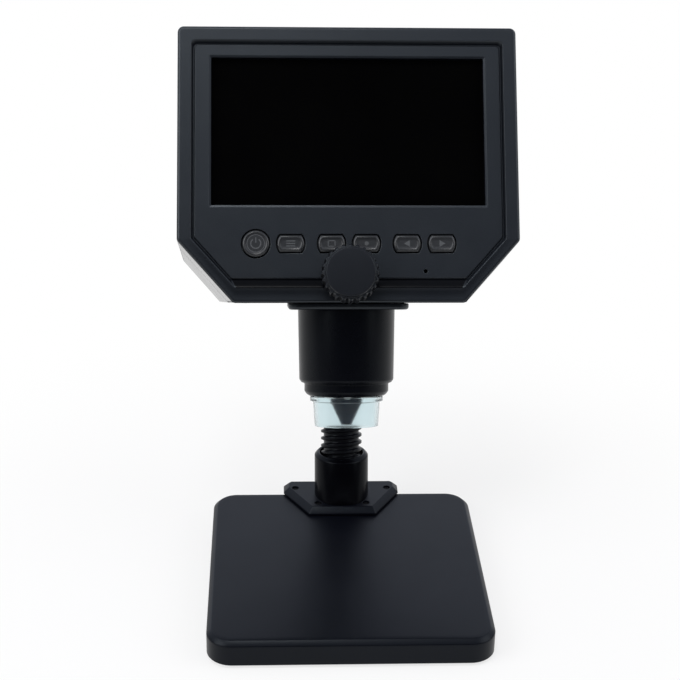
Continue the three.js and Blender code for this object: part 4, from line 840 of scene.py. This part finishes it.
# %% Room for the barrel's hole
# Along the lower side more points go in, and there the frame ends short of the barrel's hole. Its
# depth ends at how far the face is in front of the barrel's axis, less the root of the hole's
# radius squared minus x squared. Only its two outer back rings and its inner one are pushed there.
# A corner has seven points, so number 7 starts the second corner.
corner, HOLE_RADIUS = 7, 18.0
bottom_share = np.linspace(0, 1, 66)[1:-1, None]
bottom = (frame_rings[:, corner - 1, None] * (1 - bottom_share)
          + frame_rings[:, corner, None] * bottom_share)
hole_front = np.sqrt(np.clip(HOLE_RADIUS**2 - bottom[..., 0] ** 2, 0, None))
room = (FACE_AHEAD - hole_front) * math.cos(WEDGE)
room[1] -= BACK_EDGE
room[-1] = np.maximum(room[-1], PANEL_BACK)
beyond = np.clip(-bottom[..., 2] - room, 0, None)
beyond[2:-1] = 0
bottom[..., 2] += beyond
bottom[..., 1] -= beyond * math.tan(WEDGE)
frame_rings = np.concatenate([frame_rings[:, :corner], bottom, frame_rings[:, corner:]], 1)
print("most room made:", round(float(beyond.max()), 2), "mm")

# %% Fall of the chin's bar
# The bar falls away from the recess towards the bottom, steeply at first and then less: its depth
# is CHIN_FALL times one minus the cube of the share of the way up from the bottom edge
CHIN_FALL, CHIN_BAR = 0.55, RIM[0] - SLOPE[0]
way_up = np.clip((frame_rings[..., 1] - FRONT_EDGE) / (CHIN_BAR - FRONT_EDGE), 0, 1)
frame_rings[..., 2] -= CHIN_FALL * (1 - way_up**3) * (frame_rings[..., 2] > -FRONT_EDGE)
front = Shell().rings(frame_rings, joined=True)
# Faces of the slope that get the painted shade
slope_painted_shade_faces = np.zeros(frame_rings.shape[:2], bool)
slope_painted_shade_faces[slope_start:slope_end, corner - 1:corner + bottom.shape[1]] = True
print("faces of the slope:", int(slope_painted_shade_faces.sum()))

# %% Panel with its holes
BUTTON_LEVEL, KEY_GAP, BUTTON_RADIUS, BUTTON_HALF = 21.2, 0.4, 4.8, 3.0
buttons = {"power_button": -32.75, "key_1": -20.5, "key_2": -6.15, "key_3": 6.15, "key_4": 20.5,
           "key_5": 32.75}
button_bodies = {name: "power" if name == "power_button" else name for name in buttons}


def key_outline(name, radius, half, x=0.0, y=0.0, sides=64):
    """A circle for the power button. The others have its right and left arcs, as far as y reaches
    half and -half, and straight lines between them at the top and bottom."""
    if name == "power_button":
        return circle(radius, x, y, sides)
    reach = math.asin(half / radius)
    swing = np.linspace(-reach, reach, sides // 2)
    right_side = np.stack([radius * np.cos(swing), radius * np.sin(swing)], 1)
    return np.concatenate([right_side, -right_side]) + np.array([x, y])


WINDOW_WIDTH, WINDOW_HEIGHT, WINDOW_LEVEL, WINDOW_BEVEL = 96.9, 53.4, 61.7, 0.65
panel_outline = outline(head_corners, RIM + 0.25, inner_radii, 6)
holes = [box_outline(WINDOW_WIDTH + 2 * WINDOW_BEVEL, WINDOW_HEIGHT + 2 * WINDOW_BEVEL, 0.5,
                     0, WINDOW_LEVEL, arc=3)]
holes += [key_outline(name, BUTTON_RADIUS + KEY_GAP, BUTTON_HALF + KEY_GAP, x, BUTTON_LEVEL)
          for name, x in buttons.items()]
# The holes for the focus knob's shaft and for the reset pin
KNOB_LEVEL, SHAFT_HOLE, RESET_HOLE, RESET_PLACE = 9.3, 2.3, 0.7, (26.9, 11.4)
holes += [circle(SHAFT_HOLE, 0, KNOB_LEVEL, 32), circle(RESET_HOLE, *RESET_PLACE, 20)]
plate(front, panel_outline, holes, -PANEL_BACK, -RECESS, edge=0.5, hole_edge=0.2)

# %% Bevel round the window
# How far out and how deep each ring is: first a faint slope, which shows as a light line under the
# screen, and then the wall
window_rows = [(1.3, 1.6), (0.75, 1.31), (0.08, 1.43), (0.0, 1.62), (0.0, 3.4), (1.3, 3.4)]
window_rings = [
    lifted(box_outline(WINDOW_WIDTH + 2 * out, WINDOW_HEIGHT + 2 * out, 0.3 + out * 0.2, 0,
                       WINDOW_LEVEL, arc=3), -depth)
    for out, depth in window_rows
]
front.rings(window_rings, joined=True, smooth=False)
front_thing = piece("front_frame", front, on_face, case_black, "microscope", ["front_bezel"])


# %% Cheeks with a painted sheen
# The cosine of the largest angle between a face with the sheen and the way that a cheek looks
SAME_WAY = 0.998


def paint_cheek_sheen(thing):
    """Gives the second finish, a glossier one whose lighter colour is a painted sheen, to the faces
    that look out of a cut-off corner: their normal is square to the cheek's line in the plane of
    the face."""
    thing.data.materials.append(cheek_painted_sheen)
    faces = thing.data.polygons
    normals = np.zeros(len(faces) * 3, np.float32)
    faces.foreach_get("normal", normals)
    normals = normals.reshape(-1, 3)
    down = on_face([0, -1, 0]) - on_face([0, 0, 0])
    out = CHEEK_HEIGHT * np.array([0.001, 0, 0]) + CHEEK_WIDTH * down
    out /= np.linalg.norm(out)
    towards = np.maximum(normals @ out, normals @ (out * np.array([-1, 1, 1])))
    faces.foreach_set("material_index", (towards > SAME_WAY).astype(np.int32))
    # The faces counted here carry the painted sheen
    print(thing.name, "polished faces:", int((towards > SAME_WAY).sum()))


paint_cheek_sheen(front_thing)

# %% Painted shade on the slope
# The chin's inner slope is smoother, darker and less glossy than the rest of the face: painted
# shade for its dark band
front_thing.data.materials.append(slope_painted_shade)
face_finish = np.zeros(len(front_thing.data.polygons), np.int32)
front_thing.data.polygons.foreach_get("material_index", face_finish)
face_finish[:slope_painted_shade_faces.size][slope_painted_shade_faces.ravel()] = 2
front_thing.data.polygons.foreach_set("material_index", face_finish)
print("dark faces:", int((face_finish == 2).sum()))

# %% [markdown]
# ## The keys
# Each key has a raised rim round a shallow dish and is a little lighter than the panel. The marks
# on them are plain shapes that say on and off, list, square, dot, left and right.


# %% Keys
def key_shell(name, x):
    """Rings of the key's outline, moved in step by step while they rise, fall into a shallow dish
    and rise again to a slightly crowned middle."""
    rows = [(-1.0, -4.9), (-1.0, -3.85), (0.0, -3.8), (0.0, -1.38), (0.10, -1.14), (0.28, -0.92),
            (0.50, -0.77), (0.75, -0.70), (0.92, -0.71), (1.10, -0.82), (1.32, -0.88), (2.3, -0.85)]
    base = key_outline(name, BUTTON_RADIUS, BUTTON_HALF)
    half = np.array([BUTTON_RADIUS, BUTTON_RADIUS if name == "power_button" else BUTTON_HALF])
    rings = [lifted(base * ((half - inset) / half) + np.array([x, BUTTON_LEVEL]), level)
             for inset, level in rows]
    stem = turned([(1.5, -5.1), (1.5, -4.0)], 24, x, BUTTON_LEVEL)
    return Shell().rings(rings).rings(stem)


for name, x in buttons.items():
    piece(f"{name}_cap", key_shell(name, x), on_face, key_grey, button_bodies[name], [name])


# %% Marks on the keys
BOLD, FINE = 0.42, 0.38


def stroke(shell, path, width, low, high):
    """A flat band along an open path: each point is moved to both sides by half the width, square
    to the path, and the ends are cut square."""
    path = np.asarray(path, float)
    way = np.gradient(path, axis=0)
    way /= np.linalg.norm(way, axis=1, keepdims=True)
    beside = np.stack([-way[:, 1], way[:, 0]], 1) * width / 2
    band = np.concatenate([path - beside, (path + beside)[::-1]])
    shell.rings(np.stack([lifted(band, low), lifted(band, high)]), smooth=False)


def key_mark(name, x):
    """The shape on one key, which stands a little proud of the dish."""
    shell, low, high = Shell(), -1.0, -0.80
    middle = np.array([x, BUTTON_LEVEL])
    if name == "power_button":
        swing = np.linspace(math.radians(125), math.radians(415), 40)
        bow = middle + 1.75 * np.stack([np.cos(swing), np.sin(swing)], 1)
        stroke(shell, bow, BOLD, low, high)
        stroke(shell, middle + np.array([[0, 0.3], [0, 2.1]]), BOLD, low, high)
        shell.rings(turned([(2.95, low), (3.2, low), (3.2, high), (2.95, high)], 64, *middle),
                    joined=True, smooth=False)
    elif name == "key_1":
        for level in (-0.9, 0.0, 0.9):
            stroke(shell, middle + np.array([[-1.6, level], [1.6, level]]), FINE, low, high)
    elif name == "key_2":
        ring = np.array([[-1.2, -1.0], [1.2, -1.0], [1.2, 1.0], [-1.2, 1.0]])
        for a, b in zip(ring, np.roll(ring, -1, axis=0)):
            step = (b - a) / np.linalg.norm(b - a) * FINE / 2
            stroke(shell, middle + np.array([a - step, b + step]), FINE, low, high)
    elif name == "key_3":
        shell.rings(np.stack([lifted(circle(0.75, *middle, 32), level) for level in (low, high)]),
                    smooth=False)
    else:
        way = -1.0 if name == "key_4" else 1.0
        corners = np.array([[-0.9, -1.2 * way], [1.2, 0.0], [-0.9, 1.2 * way]]) * [way, 1.0]
        ring = middle + corners
        shell.rings(np.stack([lifted(ring, level) for level in (low, high)]), smooth=False)
    return shell


for name, x in buttons.items():
    piece(f"{name}_mark", key_mark(name, x), on_face, icon_grey, button_bodies[name])

# %% [markdown]
# ## The focus knob
# The knob has 24 grip ridges and a plain raised face. The grooves between the ridges are pressed
# into the outermost millimetre only, so that each one runs out softly at the rounded corners.

# %% Focus knob
KNOB_RADIUS, KNOB_RIDGES, KNOB_LOW, KNOB_RIM = 10.1, 24, 0.8, 9.2
knob_profile = softened([
    (SHAFT_HOLE, 6.8), (SHAFT_HOLE, KNOB_LOW), (9.4, KNOB_LOW), (KNOB_RADIUS, KNOB_LOW + 0.7),
    (KNOB_RADIUS, KNOB_RIM - 0.7), (9.5, KNOB_RIM), (8.75, KNOB_RIM + 0.05), (8.65, KNOB_RIM + 1.1),
    (8.35, KNOB_RIM + 1.4), (0.4, KNOB_RIM + 1.4),
], 0.3, 4, closed=False)
knob = gripped(turned(knob_profile, KNOB_RIDGES * 12), KNOB_RIDGES, inner=9.0, run=1.1, depth=0.75,
               sharpness=1.8, below=KNOB_RIM + 0.04)
knob[..., 1] += KNOB_LEVEL
piece("focus_knob_grip", Shell().rings(knob), on_face, knob_black, "focus",
      ["focus_knob"])

# %% [markdown]
# ## Barrel, nose, shroud and hood
# These are turned parts on one axis. The profile of each is a closed line of radius and height,
# with every corner a little rounded, so that a thin highlight runs round each edge.

# %% Barrel
barrel_profile = softened([
    (16.0, -29.2), (16.4, -29.2), (17.2, -28.1), (17.7, 0.0), (17.7, 2.3), (16.0, 2.3),
], 0.35, 4)
barrel = Shell().rings(turned(barrel_profile, 160), joined=True)
# A collar above the tube, inside the head
plate(barrel, circle(18.0, sides=96), [circle(16.0, sides=96)], 2.6, 4.0, edge=0.2)
piece("barrel_tube_turned", barrel, on_head, barrel_black, "microscope", ["barrel_tube"])

# %% Nose ring
NOSE_BORE = 6.8
nose_profile = softened([
    (14.2, -24.0), (15.7, -24.0), (15.7, -29.5), (15.35, -29.6), (15.35, -32.3), (14.6, -33.4),
    (13.7, -34.0), (12.0, -34.0), (12.0, -32.6), (NOSE_BORE, -32.6), (NOSE_BORE, -31.0),
    (14.2, -31.0),
], 0.22, 3)
piece("nose_ring_turned", Shell().rings(turned(nose_profile, 128), joined=True), on_head,
      barrel_black, "microscope", ["nose_ring"])

# %% Lamp board
lamp_board = softened([
    (NOSE_BORE, -33.9), (11.7, -33.9), (11.7, -32.9), (NOSE_BORE, -32.9),
], 0.1, 2)
lamps = Shell().rings(turned(lamp_board, 96), joined=True)
LAMP_COUNT, LAMP_CIRCLE = 8, 9
dome = softened([(0.05, -33.5), (1.3, -33.5), (1.3, -34.7), (0.9, -35.0), (0.05, -35.0)], 0.15, 2,
                closed=False)
for number in range(LAMP_COUNT):
    angle = 2 * math.pi / LAMP_COUNT * number
    lamps.rings(turned(dome, 24, LAMP_CIRCLE * math.cos(angle), LAMP_CIRCLE * math.sin(angle)))
piece("lamp_ring", lamps, on_head, board_white, "microscope", ["led_board"])

# %% Shroud
shroud_profile = softened([
    (11.0, -34.3), (13.3, -34.3), (13.3, -36.0), (12.2, -36.15), (11.6, -45.2), (10.5, -45.2),
], 0.25, 4)
piece("shroud_clear", Shell().rings(turned(shroud_profile, 128), joined=True), on_head, frosted,
      "microscope", ["shroud"])

# %% Lens hood
hood_profile = softened([
    (0.9, -44.3), (1.85, -44.3), (6.4, -34.9), (6.4, -30.7), (8.0, -30.7), (8.0, -29.9),
    (5.4, -29.9), (5.4, -34.9),
], 0.12, 2)
piece("lens_hood_turned", Shell().rings(turned(hood_profile, 96), joined=True), on_head, hood_black,
      "microscope", ["lens_hood"])

# %% [markdown]
# ## Softer copies of solids
# Some pieces already have the right form and only lack soft edges. A copy of the solid's mesh has
# its double points merged and the triangles of each flat joined, and a Bevel modifier rounds what
# is left. The Weighted Normal modifier then lets the large faces decide the shading, so that flats
# look flat.


# %% Copies with rounded edges
# Points closer than this, in metres, are one. Faces within the first angle are one flat, and edges
# sharper than the second are rounded.
MERGE_WITHIN, FLAT_WITHIN, EDGE_FROM = 2e-6, math.radians(1), math.radians(28)


def softer(node, name, material, body, width, segments=2):
    """A copy of a solid whose edges are rounded by a width in millimetres."""
    mesh = frame["nodes"][node].data.copy()
    mesh.name = name
    work = bmesh.new()
    work.from_mesh(mesh)
    bmesh.ops.remove_doubles(work, verts=work.verts, dist=MERGE_WITHIN)
    bmesh.ops.dissolve_limit(work, angle_limit=FLAT_WITHIN, verts=work.verts, edges=work.edges)
    work.to_mesh(mesh)
    work.free()
    mesh.materials.clear()
    mesh.materials.append(material)
    mesh.polygons.foreach_set("use_smooth", np.ones(len(mesh.polygons), bool))
    thing = bpy.data.objects.new(name, mesh)
    bpy.context.scene.collection.objects.link(thing)
    rounding = thing.modifiers.new("rounding", "BEVEL")
    rounding.width = width / 1000
    rounding.segments = segments
    rounding.limit_method = "ANGLE"
    rounding.angle_limit = EDGE_FROM
    even = thing.modifiers.new("even_shading", "WEIGHTED_NORMAL")
    even.weight = 100
    even.keep_sharp = True
    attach(thing, body)
    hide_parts(node)
    print(f"{name}: {len(mesh.vertices)} points, {len(mesh.polygons)} faces")
    return thing


rear = softer("rear_shell", "rear_moulding", case_black, "microscope", 0.25)
paint_cheek_sheen(rear)
softer("battery_door", "battery_door_moulding", case_black, "door", 0.2)
softer("dimmer_wheel", "dimmer_grip", knob_black, "dimmer", 0.15)
softer("screen_window", "screen_glass", screen_black, "microscope", 0.1)
softer("usb_socket", "usb_socket_shell", steel, "microscope", 0.08)
softer("card_socket", "card_socket_shell", steel, "microscope", 0.08)
softer("battery", "battery_pouch", foil, "microscope", 0.9, 3)
softer("base_cover", "base_cover_moulding", base_black, "base", 0.2)
softer("anti_slip_pad", "anti_slip_sheet", pad_rubber, "base", 0.15)

# %% [markdown]
# ## Solids that keep their shape
# The hidden parts are right as they are and only need their finish. Their points and faces are not
# touched: only the material in the solid's slot is another.

# %% Finishes for the kept solids
kept = {
    inner_black: ["lcd_panel", "guide_tube", "lens_carrier", "dimmer_pot"],
    lens_clear: ["objective_lens"],
    board_green: ["main_board", "key_board", "sensor_board"],
    steel: ["ballast_plate", "focus_shaft"],
    flex_film: ["flex_cable"],
}
for number in range(1, 5):
    kept[steel] += [f"cover_screw_{number}", f"case_screw_{number}"]
    kept.setdefault(screw_black, []).append(f"foot_screw_{number}")
for material, names in kept.items():
    for name in names:
        node = frame["nodes"][name]
        node.data.materials.clear()
        node.data.materials.append(material)
print("kept solids:", sum(len(names) for names in kept.values()))

# %% [markdown]
# ## Floor, world and lamps
# The photograph has a plain white ground. The floor and the world show white to the camera, and to
# rays that come by way of gloss or clear plastic. Near the object the floor also takes its shadow.
# The surroundings that the black plastic mirrors get brighter upwards and behind, and are dark in
# front, where the camera stood, and straight overhead: that draws the form of a black object. They
# are a gradient made for this view, and not measured.


# %% Floor
# Metres from the middle between which the floor's glow grows, and its share at the near end
GLOW_FROM, GLOW_TO, GLOW_NEAR = 0.07, 0.25, 0.72


def floor_material():
    """White to the camera. Near the object 28 parts in 100 are lit surface, so that the shadow
    shows, and further out all of it is glow."""
    material, tree, shader = new_material("floor_white")
    shader.inputs["Base Color"].default_value = (0.86, 0.86, 0.87, 1)
    shader.inputs["Roughness"].default_value = 0.9
    shader.inputs["Specular IOR Level"].default_value = 0.1
    path = add_node(tree, "ShaderNodeLightPath")
    seen = math_node(tree, "MAXIMUM", path.outputs["Is Camera Ray"], path.outputs["Is Glossy Ray"])
    seen = math_node(tree, "MAXIMUM", seen, path.outputs["Is Transmission Ray"])
    place = add_node(tree, "ShaderNodeTexCoord")
    far = add_node(tree, "ShaderNodeVectorMath", operation="LENGTH")
    tree.links.new(place.outputs["Object"], far.inputs[0])
    glowing = map_node(tree, far.outputs["Value"], GLOW_FROM, GLOW_TO, GLOW_NEAR)
    share = math_node(tree, "MULTIPLY", seen, glowing)
    glow = add_node(tree, "ShaderNodeEmission", in_Strength=1.0, in_Color=(1, 1, 1, 1))
    mixed = mix_shaders(tree, share, shader.outputs[0], glow.outputs[0])
    tree.links.new(mixed, tree.nodes["Material Output"].inputs["Surface"])
    return material


floor_mesh = bpy.data.meshes.new("floor")
reach, sunk = 6.0, -0.0002
floor_corners = [(-reach, -reach), (reach, -reach), (reach, reach), (-reach, reach)]
floor_mesh.from_pydata([(x, y, sunk) for x, y in floor_corners], [], [(0, 1, 2, 3)])
floor = bpy.data.objects.new("floor", floor_mesh)
bpy.context.scene.collection.objects.link(floor)
floor_mesh.materials.append(floor_material())

# %% What glossy surfaces mirror
world = bpy.data.worlds.new("studio")
bpy.context.scene.world = world
world.use_nodes = True
tree = world.node_tree
tree.nodes.clear()
direction = add_node(tree, "ShaderNodeTexCoord")
apart = add_node(tree, "ShaderNodeSeparateXYZ")
tree.links.new(direction.outputs["Generated"], apart.inputs[0])
raised = math_node(tree, "MULTIPLY", apart.outputs["Z"], 2.0)
behind = math_node(tree, "ADD", apart.outputs["Y"], raised)
# Where the strength starts and stops to change, and what it is there: from in front to behind it
# grows, and towards straight overhead it falls
GROWING, FALLING = (0.26, 1.30, 0.03, 1.0), (0.86, 0.97, 1.0, 0.10)
around = map_node(tree, behind, *GROWING)
overhead = map_node(tree, apart.outputs["Z"], *FALLING)
level = math_node(tree, "MULTIPLY", around, overhead)
mirrored = add_node(tree, "ShaderNodeBackground", in_Color=(0.92, 0.98, 1.12, 1))
tree.links.new(level, mirrored.inputs["Strength"])

# %% What lights the object and what the camera sees
ambient = add_node(tree, "ShaderNodeBackground", in_Strength=0.62, in_Color=(0.97, 0.98, 1.0, 1))
white = add_node(tree, "ShaderNodeBackground", in_Strength=1.0, in_Color=(1, 1, 1, 1))
path = add_node(tree, "ShaderNodeLightPath")
clear = math_node(tree, "MAXIMUM", path.outputs["Is Camera Ray"],
                  path.outputs["Is Transmission Ray"])
gloss = mix_shaders(tree, path.outputs["Is Glossy Ray"], ambient.outputs[0], mirrored.outputs[0])
shown = mix_shaders(tree, clear, gloss, white.outputs[0])
tree.links.new(shown, add_node(tree, "ShaderNodeOutputWorld").inputs[0])
print("world nodes:", len(tree.nodes))


# %% Lamps
def lamp(name, place, aim, size, power):
    """A square area lamp at a place, turned to shine at a point."""
    data = bpy.data.lights.new(name, "AREA")
    data.shape = "SQUARE"
    data.size = size
    data.energy = power
    thing = bpy.data.objects.new(name, data)
    bpy.context.scene.collection.objects.link(thing)
    thing.location = place
    thing.rotation_euler = (Vector(aim) - Vector(place)).to_track_quat("-Z", "Y").to_euler()


aim = (0, 0.03, 0.1)
lamp("left_soft", (-1.1, -0.55, 0.95), aim, 0.9, 9)
lamp("right_soft", (1.2, -0.3, 0.75), aim, 0.9, 5)
lamp("front_soft", (-0.20, -0.40, 1.40), aim, 0.34, 4.5)
bpy.context.scene.view_settings.view_transform = "Standard"
print("lamps:", [data.name for data in bpy.data.lights])
